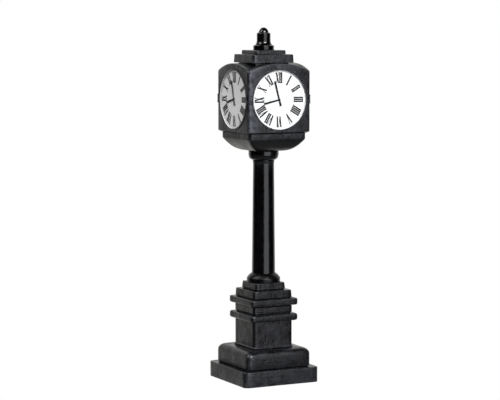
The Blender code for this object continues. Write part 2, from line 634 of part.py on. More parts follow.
def make_movement_frame(materials):
    low = DIAL_HEIGHT - FRAME_BELOW
    high = DIAL_HEIGHT + FRAME_ABOVE
    inner = FRAME_HALF - FRAME_WALL
    block = box_mesh((-FRAME_HALF, -FRAME_HALF, low), (FRAME_HALF, FRAME_HALF, high), "movement_frame")
    hollow = box_mesh((-inner, -inner, low + FRAME_WALL), (inner, inner, high + OVERCUT), "frame_hollow")
    hole = rod_mesh(ROD_RADIUS + 0.0015, low - OVERCUT, low + FRAME_WALL + OVERCUT, "frame_rod_hole")
    frame = place("movement_frame", block, materials["steel"])
    cut(frame, place("frame_hollow", hollow), place("frame_rod_hole", hole))
    for turn in (0, 90):
        rotation = (0, 0, math.radians(turn))
        bearings = (("arbor", 0.0, MINUTE_ARBOR_RADIUS), ("stud", GEAR_SPACING, STUD_RADIUS))
        for kind, height, radius in bearings:
            location = (0, 0, DIAL_HEIGHT + height)
            for end in (-1, 1):
                name = f"{kind}_boss_{turn}_{'near' if end < 0 else 'far'}"
                span = sorted((end * (inner + 0.004), end * BOSS_OUTER_END))
                join(frame, place(name, rod_mesh(radius + 0.009, *span, name, axis="Y"),
                                  location=location, rotation=rotation))
            name = f"{kind}_bores_{turn}"
            reach = BOSS_OUTER_END + OVERCUT
            bores = rod_mesh(radius + CLEARANCE, -reach, reach, name, axis="Y")
            cut(frame, place(name, bores, location=location, rotation=rotation))


def make_lamp(materials):
    """The lamp over the movement frame: its holder, under the lid's crown, and its glass as one piece."""
    curve_drop = 0.0030                      # how far the vault falls over the holder's radius
    top = HEAD_CROWN - WALL - curve_drop - SEAM
    outline = [(0.0, top), (0.030, top), (0.030, top - 0.050), (0.018, top - 0.060)]
    outline += arc_points((0.0, top - 0.100), 0.040, 60, -90, 5)[:-1] + [(0.0, top - 0.140)]
    place("dial_lamp", turned_mesh(outline[::-1], "dial_lamp", SMALL_STEPS), materials["lamp_glass"])


# ---- one dial side, in the front face's frame ---------------------------------------------------
def dial_mesh():
    front, back = (inward(depth) for depth in DIAL_DEPTH)
    rim_front = inward(WALL) + SEAM
    hole = PIPE_RADIUS + 0.0025
    outline = [(hole, front), (DIAL_RADIUS - DIAL_RIM, front), (DIAL_RADIUS - DIAL_RIM, rim_front),
               (DIAL_RADIUS, rim_front), (DIAL_RADIUS, back), (hole, back)]
    return turned_mesh(outline, "dial", ROUND_STEPS, "Y")


def bezel_mesh():
    ring = [(WINDOW_RADIUS, -BEZEL_THICKNESS), (BEZEL_RADIUS - 0.002, -BEZEL_THICKNESS),
            (BEZEL_RADIUS, -BEZEL_THICKNESS + 0.002), (BEZEL_RADIUS, -SEAM), (WINDOW_RADIUS, -SEAM)]
    return turned_mesh([(radius, inward(depth)) for radius, depth in ring], "bezel", RING_STEPS, "Y")


def hand_mesh(length, tail, width, depth, name):
    """A flat baton hand pointing up, widest at its ends; tail is 0 for a hand with none."""
    low, high = depth
    root = width * 0.38
    tip = width / 2
    tail_half = width * 0.6
    start = math.degrees(math.acos(root / HAND_HUB_RADIUS))
    end = -start if tail else -90.0
    hub = arc_points((0.0, 0.0), HAND_HUB_RADIUS, start, end, 8)
    right = [(tip, length)] + hub + ([(tail_half, -tail)] if tail else [])
    left = [(-x, z) for x, z in right[::-1] if x > 1e-6]
    bm = bmesh.new()
    face = bm.faces.new([bm.verts.new((x, inward(low), z)) for x, z in right + left])
    made = bmesh.ops.extrude_face_region(bm, geom=[face])
    moved = [item for item in made["geom"] if isinstance(item, bmesh.types.BMVert)]
    bmesh.ops.translate(bm, verts=moved, vec=(0, high - low, 0))
    return mesh_from(bm, name)


def place_hinge(name, knuckle, material, parent, location):
    """Two ears joined by the hinge pin, about the hinge axis; the face lies HINGE_PROUD inward."""
    half = knuckle / 2 + KNUCKLE_GAP
    pin_end = half + EAR_LENGTH - KNUCKLE_GAP
    hinge = place(name, rod_mesh(PIN_RADIUS, -pin_end, pin_end, name), material, parent, location)
    reach = KNUCKLE_RADIUS
    for label, low in (("lower", -half - EAR_LENGTH), ("upper", half)):
        ear_name = f"{name}_{label}_ear"
        ear = box_mesh((-reach, -reach, low), (reach, HINGE_PROUD - SEAM, low + EAR_LENGTH), ear_name)
        join(hinge, place(ear_name, ear, parent=parent, location=location))


def add_knuckle(leaf, knuckle, tab_end, tab_back, parent, location):
    """Joins a hinge knuckle and its tab to a door; tab_end and tab_back are from the hinge axis."""
    half = knuckle / 2
    tab = box_mesh((0.0, -0.0015, -half), (tab_end, tab_back, half), f"{leaf.name}_tab")
    barrel = rod_mesh(KNUCKLE_RADIUS, -half, half, f"{leaf.name}_barrel")
    bore = rod_mesh(KNUCKLE_BORE, -half - 0.01, half + 0.01, f"{leaf.name}_bore")
    join(leaf, place(tab.name, tab, parent=parent, location=location),
         place(barrel.name, barrel, parent=parent, location=location))
    cut(leaf, place(bore.name, bore, parent=parent, location=location))


def minute_arbor_parts():
    apex_drop = BEVEL_RADIUS * ARBOR_BEVEL_TEETH / DRIVE_BEVEL_TEETH
    inner_end = -BEVEL_RADIUS * BEVEL_FACE
    hand_back = inward(MINUTE_HAND_DEPTH[1] + SEAM)
    arbor = rod_mesh(MINUTE_ARBOR_RADIUS, inner_end + 0.002, hand_back, "minute_arbor", axis="Y")
    bevel = gear_outline(ARBOR_BEVEL_TEETH, apex_drop - 0.007, apex_drop + 0.0026, 0.5, tip_part=0.18)
    cannon = gear_outline(CANNON_TEETH, 0.0152, 0.0232, 0.0, 0.5, 0.2)
    near, far = (inward(depth) for depth in MINUTE_WHEEL_DEPTH)
    return (arbor, gear_mesh(bevel, -BEVEL_RADIUS, inner_end, "arbor_bevel", BEVEL_FACE),
            gear_mesh(cannon, near, far, "cannon_pinion"))


def intermediate_parts():
    near, far = (inward(depth) for depth in MINUTE_WHEEL_DEPTH)
    pinion_near = inward(HOUR_WHEEL_DEPTH[0])
    wheel_outline = gear_outline(MINUTE_WHEEL_TEETH, 0.0544, 0.0624, 0.5)
    wheel = gear_mesh(wheel_outline, near, far, "intermediate_wheel")
    pinion_outline = gear_outline(PINION_TEETH, 0.0121, 0.0186, 0.0, 0.5, 0.2)
    pinion = gear_mesh(pinion_outline, pinion_near, near + 0.002, "intermediate_pinion")
    arbor = rod_mesh(STUD_RADIUS, far - 0.002, -FRAME_HALF - 0.002, "intermediate_arbor", axis="Y")
    return wheel, pinion, arbor


def hour_wheel_parts():
    near, far = (inward(depth) for depth in HOUR_WHEEL_DEPTH)
    wheel = gear_mesh(gear_outline(HOUR_WHEEL_TEETH, 0.0594, 0.0659, 0.5), near, far, "hour_wheel")
    pipe = rod_mesh(PIPE_RADIUS, inward(HOUR_HAND_DEPTH[1] + SEAM), far - 0.002, "hour_pipe", axis="Y")
    bore = rod_mesh(PIPE_BORE, inward(0.0), far + 0.01, "hour_bore", axis="Y")
    return wheel, pipe, bore


def make_dial_sides(materials):
    dial = dial_mesh()
    bezel = bezel_mesh()
    near, far = (inward(depth) for depth in CRYSTAL_DEPTH)
    crystal = rod_mesh(CRYSTAL_RADIUS, near, far, "crystal", RING_STEPS, "Y")
    minute_hand = hand_mesh(MINUTE_HAND_LENGTH, MINUTE_HAND_TAIL, MINUTE_HAND_WIDTH, MINUTE_HAND_DEPTH,
                            "minute_hand")
    hour_hand = hand_mesh(HOUR_HAND_LENGTH, 0.0, HOUR_HAND_WIDTH, HOUR_HAND_DEPTH, "hour_hand")
    hand_bore = rod_mesh(PIPE_BORE, inward(0.010), inward(0.030), "hour_hand_bore", axis="Y")
    arbor_parts = minute_arbor_parts()
    idler_parts = intermediate_parts()
    hour_parts = hour_wheel_parts()
    for side, turn in SIDES.items():
        empty = bpy.data.objects.new(f"{side}_side", None)
        bpy.context.scene.collection.objects.link(empty)
        empty.location = (0, 0, DIAL_HEIGHT)
        empty.rotation_euler = (0, 0, math.radians(turn))
        place(f"{side}_dial", dial, materials["dial_white"], empty)

        hinge_at = (-BEZEL_HINGE_OFFSET, inward(-HINGE_PROUD), 0)
        ring = place(f"{side}_bezel", bezel.copy(), materials["black_iron"], empty, hinge_at)
        ring.data.transform(Matrix.Translation((-hinge_at[0], -hinge_at[1], 0)))
        add_knuckle(ring, BEZEL_KNUCKLE, 0.018, HINGE_PROUD - SEAM, empty, hinge_at)
        glass = place(f"{side}_crystal", crystal.copy(), materials["crystal"], empty, hinge_at)
        glass.data.transform(Matrix.Translation((-hinge_at[0], -hinge_at[1], 0)))
        place_hinge(f"{side}_bezel_hinge", BEZEL_KNUCKLE, materials["steel"], empty, hinge_at)

        place(f"{side}_minute_hand", minute_hand, materials["hand_black"], empty,
              rotation=(0, MINUTE_HAND_ANGLE, 0))
        hour = place(f"{side}_hour_hand", hour_hand, materials["hand_black"], empty,
                     rotation=(0, HOUR_HAND_ANGLE, 0))
        cut(hour, place(f"{side}_hour_hand_bore", hand_bore, parent=empty))

        arbor = place(f"{side}_minute_arbor", arbor_parts[0], materials["brass"], empty)
        join(arbor, *(place(f"{side}_{mesh.name}", mesh, parent=empty) for mesh in arbor_parts[1:]))
        above = (0, 0, GEAR_SPACING)
        idler = place(f"{side}_intermediate_wheel", idler_parts[0], materials["brass"], empty, above)
        join(idler, *(place(f"{side}_{mesh.name}", mesh, parent=empty, location=above)
                      for mesh in idler_parts[1:]))
        wheel = place(f"{side}_hour_wheel", hour_parts[0], materials["brass"], empty)
        join(wheel, place(f"{side}_hour_pipe", hour_parts[1], parent=empty))
        cut(wheel, place(f"{side}_hour_bore", hour_parts[2], parent=empty))


# ---- access door --------------------------------------------------------------------------------
def make_access_door(materials):
    """The service door in the back of the die, made in the back face's own frame."""
    middle = (DOOR_LOW + DOOR_HIGH) / 2
    empty = bpy.data.objects.new("access_side", None)
    bpy.context.scene.collection.objects.link(empty)
    empty.location = (0, 0, middle)
    empty.rotation_euler = (0, 0, math.pi)
    face = -DIE_HALF
    half = DOOR_WIDTH / 2
    height = (DOOR_HIGH - DOOR_LOW) / 2
    hinge_at = (-half - 0.012, face - HINGE_PROUD, 0)
    panel = box_mesh((0.012, HINGE_PROUD - SEAM - DOOR_THICKNESS, -height),
                     (0.012 + DOOR_WIDTH, HINGE_PROUD - SEAM, height), "access_door")
    door = place("access_door", panel, materials["black_iron"], empty, hinge_at)
    add_knuckle(door, DOOR_KNUCKLE, 0.020, HINGE_PROUD - SEAM, empty, hinge_at)
    place_hinge("access_door_hinge", DOOR_KNUCKLE, materials["steel"], empty, hinge_at)

    latch_at = (LATCH_OFFSET, 0, 0)
    outside = face - DOOR_THICKNESS - SEAM
    inside = face + WALL + LATCH_GAP
    hole = rod_mesh(LATCH_RADIUS + CLEARANCE, outside - OVERCUT, inside + OVERCUT, "latch_hole", axis="Y")
    cut(door, place("latch_hole", hole, parent=empty, location=latch_at))
    spindle = rod_mesh(LATCH_RADIUS, outside - 0.010, inside + 0.004, "access_door_latch", axis="Y")
    latch = place("access_door_latch", spindle, materials["steel"], empty, latch_at)
    grip = box_mesh((-0.007, outside - 0.014, -0.028), (0.007, outside - SEAM * 2, 0.028), "latch_grip")
    tongue = box_mesh((-0.008, inside, -0.009), (0.008, inside + 0.005, TONGUE_LENGTH), "latch_tongue")
    join(latch, *(place(mesh.name, mesh, parent=empty, location=latch_at) for mesh in (grip, tongue)))


def main():
    clear_scene()
    materials = make_materials()
    make_base(materials)
    make_die(materials)
    make_cornice(materials)
    make_step_cap(materials)
    make_column(materials)
    make_bowl(materials)
    make_head_case(materials)
    make_roof(materials)
    make_drive(materials)
    make_movement_frame(materials)
    make_lamp(materials)
    make_dial_sides(materials)
    make_access_door(materials)


main()
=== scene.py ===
"""Looks of the four-dial street clock: hand-brushed black castings, white dials, glass and brass."""

import math

import bmesh
import bpy
from mathutils import Matrix, Vector, noise


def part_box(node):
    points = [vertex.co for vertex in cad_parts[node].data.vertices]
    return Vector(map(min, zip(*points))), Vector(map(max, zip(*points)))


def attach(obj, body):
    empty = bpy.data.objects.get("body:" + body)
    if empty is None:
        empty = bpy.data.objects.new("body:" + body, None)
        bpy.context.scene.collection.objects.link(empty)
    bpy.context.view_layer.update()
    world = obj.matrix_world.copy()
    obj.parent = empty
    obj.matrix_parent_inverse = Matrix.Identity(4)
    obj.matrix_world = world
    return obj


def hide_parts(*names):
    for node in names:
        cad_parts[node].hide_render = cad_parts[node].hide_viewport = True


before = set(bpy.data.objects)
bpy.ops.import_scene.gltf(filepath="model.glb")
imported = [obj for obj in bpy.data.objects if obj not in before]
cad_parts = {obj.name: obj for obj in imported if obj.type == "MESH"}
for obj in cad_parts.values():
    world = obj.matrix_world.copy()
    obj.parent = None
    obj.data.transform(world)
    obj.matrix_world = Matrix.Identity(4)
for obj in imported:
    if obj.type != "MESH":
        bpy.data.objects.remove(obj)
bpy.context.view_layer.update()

SIDES = {"front": 0.0, "right": 90.0, "back": 180.0, "left": -90.0}
FIXED = "clock_frame"               # the body that holds everything that doesn't move

# ---- the photograph's viewpoint ----
VIEW_AZIMUTH = math.radians(27.54)  # the camera stands this far left of the front dial's axis
CAMERA_DISTANCE = 25.17
CAMERA_HEIGHT = 4.762
CAMERA_PITCH = math.radians(5.49)
CAMERA_YAW = math.radians(0.399)
LENS = 140.47
SENSOR = 36.0
FORWARD = Vector((math.sin(VIEW_AZIMUTH), math.cos(VIEW_AZIMUTH), 0.0))

# ---- sizes read from the frame ----
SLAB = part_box("base_slab")
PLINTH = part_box("plinth_block")
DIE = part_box("pedestal_die")
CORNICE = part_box("pedestal_cornice")
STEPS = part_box("pedestal_step_cap")
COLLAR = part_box("column_collar")
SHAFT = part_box("column_shaft")
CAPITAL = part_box("column_capital")
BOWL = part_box("head_bowl")
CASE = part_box("head_case")
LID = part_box("head_lid")
ROOF_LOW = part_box("roof_lower_slab")
ROOF_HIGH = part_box("roof_upper_slab")
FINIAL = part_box("finial")
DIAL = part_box("front_dial")
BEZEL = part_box("front_bezel")
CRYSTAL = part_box("front_crystal")
MINUTE_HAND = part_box("front_minute_hand")
HOUR_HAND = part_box("front_hour_hand")
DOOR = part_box("access_door")

UNIT = FINIAL[1].z / 8.80           # the module that the castings are sized by
DIAL_CENTRE = (DIAL[0].z + DIAL[1].z) / 2
HEAD_HALF = CASE[1].x
BEZEL_RADIUS = (BEZEL[1].z - BEZEL[0].z) / 2
BEZEL_WIDTH = 0.024
WINDOW_RADIUS = BEZEL_RADIUS - BEZEL_WIDTH
CRYSTAL_RADIUS = (CRYSTAL[1].z - CRYSTAL[0].z) / 2
DIAL_FRONT = DIAL[0].y + 0.0114     # the dial's painted face, behind its raised rim
DIAL_RADIUS = (DIAL[1].z - DIAL[0].z) / 2
TO_DIAL = Matrix.Translation((0, 0, DIAL_CENTRE))

# ---- corner radii of the square castings, seen from above ----
SLAB_CORNER = 0.120 * UNIT
PLINTH_CORNER = 0.115 * UNIT
HEAD_CORNER = 0.077 * UNIT          # the head case, the bowl and the pedestal's die
BAND_CORNER = 0.067 * UNIT          # the cornice and the roof slabs
STEP_CORNER = 0.058 * UNIT

GROOVE = 0.014                      # depth of the dark joint lines between the pedestal's castings
SHEET_WALL = 0.012                  # wall of the die and the head case
DOOR_SET_BACK = 0.010               # how far the die's face, with the door, lies behind its foot
BARREL_RADIUS = 0.0055              # hinge barrels of the bezels and the door
BARREL_BORE = 0.0028
HINGE_OUT = 0.006                   # how far hinge pins stand out from the face
LEAF_GAP = 0.0003                   # the gap behind the bezels and the door

ROUND_STEPS = 96
DIAL_STEPS = 120                    # divisions round a dial, its bezel and its glass
SIDE_STEPS = 14                     # divisions along one side of a square casting


# ---- mesh helpers ----
def new_object(name, data):
    obj = bpy.data.objects.new(name, data)
    bpy.context.scene.collection.objects.link(obj)
    return obj


def finish_mesh(bm, name):
    bmesh.ops.remove_doubles(bm, verts=bm.verts, dist=1e-6)
    bmesh.ops.dissolve_degenerate(bm, edges=bm.edges, dist=1e-6)
    bmesh.ops.recalc_face_normals(bm, faces=bm.faces)
    mesh = bpy.data.meshes.new(name)
    bm.to_mesh(mesh)
    bm.free()
    mesh.shade_smooth()
    mesh.set_sharp_from_angle(angle=math.radians(40.0))
    return mesh


def rounded(points, radius, steps=5, closed=False):
    """The path with its corners rounded; radius is a number or one value for each point."""
    count = len(points)
    radii = radius if isinstance(radius, (list, tuple)) else [radius] * count
    path = []
    for index, point in enumerate(points):
        if not closed and index in (0, count - 1) or radii[index] <= 0.0:
            path.append(tuple(point))
            continue
        here = Vector(point)
        before = Vector(points[index - 1]) - here
        after = Vector(points[(index + 1) % count]) - here
        reach = min(radii[index], before.length * 0.49, after.length * 0.49)
        start = here + before.normalized() * reach
        end = here + after.normalized() * reach
        for step in range(steps + 1):
            part = step / steps
            path.append(tuple(start * (1 - part) ** 2 + here * 2 * part * (1 - part) + end * part ** 2))
    return path


def square_ring(half, corner, side_steps, corner_steps=5):
    """Points of a square with rounded corners, counter-clockwise from the low end of its +X side."""
    corner = min(corner, half * 0.98)
    straight = half - corner
    side = [(half, -straight + 2 * straight * step / side_steps) for step in range(side_steps)]
    angles = [math.pi / 2 * step / corner_steps for step in range(corner_steps)]
    bend = [(straight + corner * math.cos(a), straight + corner * math.sin(a)) for a in angles]
    points = []
    for quarter in range(4):
        turn = math.radians(90 * quarter)
        cosine, sine = math.cos(turn), math.sin(turn)
        points += [(x * cosine - y * sine, x * sine + y * cosine) for x, y in side + bend]
    return points


def square_loft(profile, corner, name, side_steps=SIDE_STEPS, closed=False):
    """A square casting through (half side, height) points; a closed profile leaves it hollow."""
    bm = bmesh.new()
    rings = []
    for half, height in profile:
        points = square_ring(max(half, 0.004), min(corner, half * 0.5), side_steps)
        rings.append([bm.verts.new((x, y, height)) for x, y in points])
    count = len(rings[0])
    pairs = list(zip(rings, rings[1:])) + ([(rings[-1], rings[0])] if closed else [])
    for low, high in pairs:
        for index in range(count):
            following = (index + 1) % count
            bm.faces.new((low[index], low[following], high[following], high[index]))
    if not closed:
        bm.faces.new(rings[0][::-1])
        bm.faces.new(rings[-1])
    return finish_mesh(bm, name)


def turned(profile, name, steps=ROUND_STEPS, axis="Z"):
    """Spins a closed outline of (radius, height) points about Z, or lays the result along Y."""
    bm = bmesh.new()
    verts = [bm.verts.new((radius, 0.0, height)) for radius, height in profile]
    sides = zip(verts, verts[1:] + verts[:1])
    edges = [bm.edges.new((a, b)) for a, b in sides if a.co.x > 0 or b.co.x > 0]
    bmesh.ops.spin(bm, geom=verts + edges, cent=(0, 0, 0), axis=(0, 0, 1),
                   angle=math.tau, steps=steps, use_merge=True)
    if axis == "Y":
        bmesh.ops.rotate(bm, verts=bm.verts, matrix=Matrix.Rotation(math.radians(-90), 3, "X"))
    return finish_mesh(bm, name)


def box_mesh(low, high, name, bevel=0.0):
    """A box between two corners, its edges rolled over by bevel."""
    bm = bmesh.new()
    low, high = Vector(low), Vector(high)
    matrix = Matrix.Translation((low + high) / 2) @ Matrix.Diagonal((*(high - low), 1.0))
    bmesh.ops.create_cube(bm, size=1.0, matrix=matrix)
    if bevel > 0.0:
        bmesh.ops.bevel(bm, geom=bm.edges[:], offset=bevel, segments=3, profile=0.5, affect="EDGES")
    return finish_mesh(bm, name)


def plug(radius, front, back, name, steps, bevel=0.0):
    """A round plug along Y, from front to back."""
    outline = [(0.0, front), (radius, front), (radius, back), (0.0, back)]
    return turned(rounded(outline, [0, bevel, bevel, 0], 2), name, steps, "Y")


def hinge_barrel(place, half_length):
    """An upright hinge barrel about a place."""
    outline = [(BARREL_BORE, -half_length), (BARREL_RADIUS, -half_length),
               (BARREL_RADIUS, half_length), (BARREL_BORE, half_length)]
    barrel = turned(rounded(outline, 0.0008, 3, closed=True), "barrel", 24)
    barrel.transform(Matrix.Translation(place))
    return barrel


def smooth_noise(point, scale, seed):
    """A soft random value from about -1 to 1 that changes over the given distance."""
    return noise.noise(Vector(point) / scale + Vector((seed * 7.3, seed * 3.1, seed * 5.7)))


def hand_worked(mesh, amount, scale, seed):
    """Gives a surface the slight unevenness of a dressed casting, always inward from its true size."""
    moved = []
    for vert in mesh.vertices:
        broad = smooth_noise(vert.co, scale, seed)
        fine = smooth_noise(vert.co, scale * 0.3, seed + 11)
        moved.append(vert.co - vert.normal * amount * (0.5 + 0.38 * broad + 0.12 * fine))
    for vert, place in zip(mesh.vertices, moved):
        vert.co = place
    mesh.update()


def add_wear(mesh, full=55.0, upright=1.0):
    """Stores how sharply each point's surface turns outward, for paint thinned along edges; a painted
    highlight is later added to the same values along some left-hand corners.

    full is the curvature, per metre, that counts as 1, and upright the share of it on upright corners.
    """
    total = [0.0] * len(mesh.vertices)
    count = [0] * len(mesh.vertices)
    for edge in mesh.edges:
        a, b = (mesh.vertices[index] for index in edge.vertices)
        along = b.co - a.co
        if along.length_squared < 1e-12:
            continue
        bend = (b.normal - a.normal).dot(along) / along.length_squared
        for vert in (a.index, b.index):
            total[vert] += bend
            count[vert] += 1
    values = [min(1.0, max(0.0, t / max(1, n) / full)) for t, n in zip(total, count)]
    for vert in mesh.vertices:
        level = min(1.0, abs(vert.normal.z) * 2.0)
        values[vert.index] *= upright + (1.0 - upright) * level
    layer = mesh.attributes.new("wear_and_highlight", "FLOAT", "POINT")
    layer.data.foreach_set("value", values)


def paint_left_corner_highlight(mesh, half, reach, strength):
    """Paints a highlight along the left-hand upright edge of each of a block's four faces: lighter paint,
    added to the stored edge values, where the rounded corners catch the light.
    """
    layer = mesh.attributes["wear_and_highlight"].data
    for vert in mesh.vertices:
        x, y = vert.co.x, vert.co.y
        along = x if abs(y) > abs(x) else y
        on_front_or_right = y < -abs(x) or x > abs(y)
        from_edge = half + along if on_front_or_right else half - along
        corner_highlight = strength * max(0.0, 1.0 - from_edge / reach)
        layer[vert.index].value = min(1.0, layer[vert.index].value + corner_highlight)


def piece(name, mesh, material, body, slot, *nodes):
    """Adds a finished piece, riding on a body and standing for CAD nodes."""
    obj = new_object(name, mesh)
    obj.data.materials.clear()
    obj.data.materials.append(material)
    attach(obj, body)
    if nodes:
        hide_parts(*nodes)


def modified(obj, helpers=()):
    """The object's mesh after its modifiers; the object and its helpers are removed."""
    bpy.context.view_layer.update()
    graph = bpy.context.evaluated_depsgraph_get()
    result = bpy.data.meshes.new_from_object(obj.evaluated_get(graph))
    result.name = obj.data.name
    result.shade_smooth()
    for item in (obj, *helpers):
        bpy.data.objects.remove(item)
    return result


def applied(mesh, cutters, operation="DIFFERENCE"):
    """The mesh after Booleans with other meshes."""
    obj = new_object("work", mesh)
    helpers = [new_object("cutter", cutter) for cutter in cutters]
    for helper in helpers:
        modifier = obj.modifiers.new("boolean", "BOOLEAN")
        modifier.operation = operation
        modifier.solver = "EXACT"
        modifier.object = helper
    result = modified(obj, helpers)
    result.set_sharp_from_angle(angle=math.radians(40.0))
    return result


# ---- materials ----
class Nodes:
    """A short way to build one material's node tree."""

    def __init__(self, name):
        self.material = bpy.data.materials.new(name)
        self.material.use_nodes = True
        self.tree = self.material.node_tree
        self.shader = self.tree.nodes["Principled BSDF"]

    def add(self, kind, **values):
        node = self.tree.nodes.new(kind)
        for key, value in values.items():
            if hasattr(node, key):
                setattr(node, key, value)
            else:
                node.inputs[key.replace("_", " ")].default_value = value
        return node

    def link(self, source, target):
        self.tree.links.new(source, target)

    def place(self, scale):
        """Object coordinates stretched by scale, for marks that run one way."""
        coordinates = self.add("ShaderNodeTexCoord")
        mapping = self.add("ShaderNodeMapping")
        mapping.inputs["Scale"].default_value = scale
        self.link(coordinates.outputs["Object"], mapping.inputs["Vector"])
        return mapping.outputs["Vector"]

    def noise(self, vector, scale, detail, roughness, distortion=0.0):
        node = self.add("ShaderNodeTexNoise", Scale=scale, Detail=detail, Roughness=roughness,
                        Distortion=distortion)
        self.link(vector, node.inputs["Vector"])
        return node.outputs["Fac"]

    def ramp(self, value, stops):
        node = self.add("ShaderNodeValToRGB")
        elements = node.color_ramp.elements
        while len(elements) < len(stops):
            elements.new(0.5)
        for element, (position, level) in zip(elements, stops):
            element.position = position
            element.color = (level, level, level, 1.0)
        self.link(value, node.inputs["Fac"])
        return node.outputs["Color"]

    def mix(self, factor, first, second):
        """Two colours mixed; a Mix node takes them at its sockets 6 and 7."""
        node = self.add("ShaderNodeMix", data_type="RGBA")
        for value, number in ((factor, 0), (first, 6), (second, 7)):
            socket = node.inputs[number]
            if isinstance(value, bpy.types.NodeSocket):
                self.link(value, socket)
            else:
                socket.default_value = value
        return node.outputs[2]

    def maths(self, operation, first, second):
        node = self.add("ShaderNodeMath", operation=operation)
        for value, socket in zip((first, second), node.inputs):
            if isinstance(value, bpy.types.NodeSocket):
                self.link(value, socket)
            else:
                socket.default_value = value
        return node.outputs[0]

    def bump(self, height, distance, strength, normal=None):
        node = self.add("ShaderNodeBump", Distance=distance, Strength=strength)
        self.link(height, node.inputs["Height"])
        if normal is not None:
            self.link(normal, node.inputs["Normal"])
        return node.outputs["Normal"]


def brushed_paint(name, dark, light, worn_and_highlight, roughness, stroke, bump_depth, wear_and_highlight_part=0.8, dry_brush=0.0,
                  specular=0.5):
    """Black enamel laid on with a brush.

    stroke stretches the marks along one way, roughness is that of the glossy and of the dry parts,
    wear_and_highlight_part how far the paint is scuffed off along edges and how strongly the painted
    highlight along the left-hand corners shows, and dry_brush how pale the thinnest strokes are.
    """
    n = Nodes(name)
    plain = n.place((1.0, 1.0, 1.0))
    strokes = n.noise(n.place(stroke), 1.0, 5.0, 0.6, 0.6)
    blotches = n.noise(plain, 5.0, 4.0, 0.6)
    fine = n.noise(plain, 90.0, 3.0, 0.5)
    dry = n.ramp(n.maths("MULTIPLY", blotches, strokes), [(0.16, 0.0), (0.38, 1.0)])
    bristles = n.place(tuple(2.2 * s for s in stroke))
    thin = n.ramp(n.noise(bristles, 1.0, 6.0, 0.7, 0.9), [(0.56, 0.0), (0.72, 1.0)])
    coat = n.mix(dry, (*dark, 1.0), (*light, 1.0))
    colour = n.mix(n.maths("MULTIPLY", thin, dry_brush), coat, (*worn_and_highlight, 1.0))
    # sharp outward edges, plus the painted highlight along some left-hand corners, as stored on the mesh
    wear_and_highlight = n.add("ShaderNodeAttribute", attribute_name="wear_and_highlight").outputs["Fac"]
    patchy = n.ramp(n.noise(plain, 16.0, 5.0, 0.7), [(0.38, 0.0), (0.62, 1.0)])
    # paint thinned along edges and the painted highlight, both mixed towards the pale colour
    bare_and_highlight = n.maths("MULTIPLY", n.maths("MULTIPLY", wear_and_highlight, patchy), wear_and_highlight_part)
    n.link(n.mix(bare_and_highlight, colour, (*worn_and_highlight, 1.0)), n.shader.inputs["Base Color"])
    glossy, matt = roughness
    n.link(n.maths("ADD", n.maths("MULTIPLY", dry, matt - glossy), glossy), n.shader.inputs["Roughness"])
    broad = n.bump(blotches, bump_depth * 4.0, 0.5)
    marks = n.bump(strokes, bump_depth, 1.0, broad)
    n.link(n.bump(fine, bump_depth * 0.10, 0.6, marks), n.shader.inputs["Normal"])
    n.shader.inputs["Specular IOR Level"].default_value = specular
    return n.material


def enamel(name, colour, stain, roughness, specular=0.5):
    """Flat painted metal with the faintest unevenness."""
    n = Nodes(name)
    plain = n.place((1.0, 1.0, 1.0))
    cloud = n.ramp(n.noise(plain, 6.0, 5.0, 0.6), [(0.35, 0.0), (0.75, 1.0)])
    n.link(n.mix(cloud, (*colour, 1.0), (*stain, 1.0)), n.shader.inputs["Base Color"])
    grain = n.noise(plain, 220.0, 2.0, 0.5)
    n.link(n.maths("ADD", n.maths("MULTIPLY", grain, 0.10), roughness), n.shader.inputs["Roughness"])
    n.link(n.bump(grain, 0.0002, 0.5), n.shader.inputs["Normal"])
    n.shader.inputs["Specular IOR Level"].default_value = specular
    return n.material


def machined(name, colour, tarnish, roughness):
    """Bare metal with turning marks and a little tarnish."""
    n = Nodes(name)
    marks = n.noise(n.place((1.0, 1.0, 60.0)), 14.0, 4.0, 0.6)
    cloud = n.ramp(n.noise(n.place((1.0, 1.0, 1.0)), 12.0, 4.0, 0.6), [(0.40, 0.0), (0.80, 1.0)])
    n.link(n.mix(cloud, (*colour, 1.0), (*tarnish, 1.0)), n.shader.inputs["Base Color"])
    n.shader.inputs["Metallic"].default_value = 1.0
    n.link(n.maths("ADD", n.maths("MULTIPLY", marks, 0.20), roughness), n.shader.inputs["Roughness"])
    n.link(n.bump(marks, 0.0003, 0.5), n.shader.inputs["Normal"])
    return n.material


def clear_glass(name, tint, alpha):
    """Thin window glass, seen as a faint sheen over what is behind it."""
    n = Nodes(name)
    film = n.noise(n.place((1.0, 1.0, 1.0)), 3.0, 3.0, 0.5)
    n.link(n.maths("ADD", n.maths("MULTIPLY", film, 0.03), 0.02), n.shader.inputs["Roughness"])
    n.shader.inputs["Base Color"].default_value = (*tint, 1.0)
    n.shader.inputs["Alpha"].default_value = alpha
    return n.material


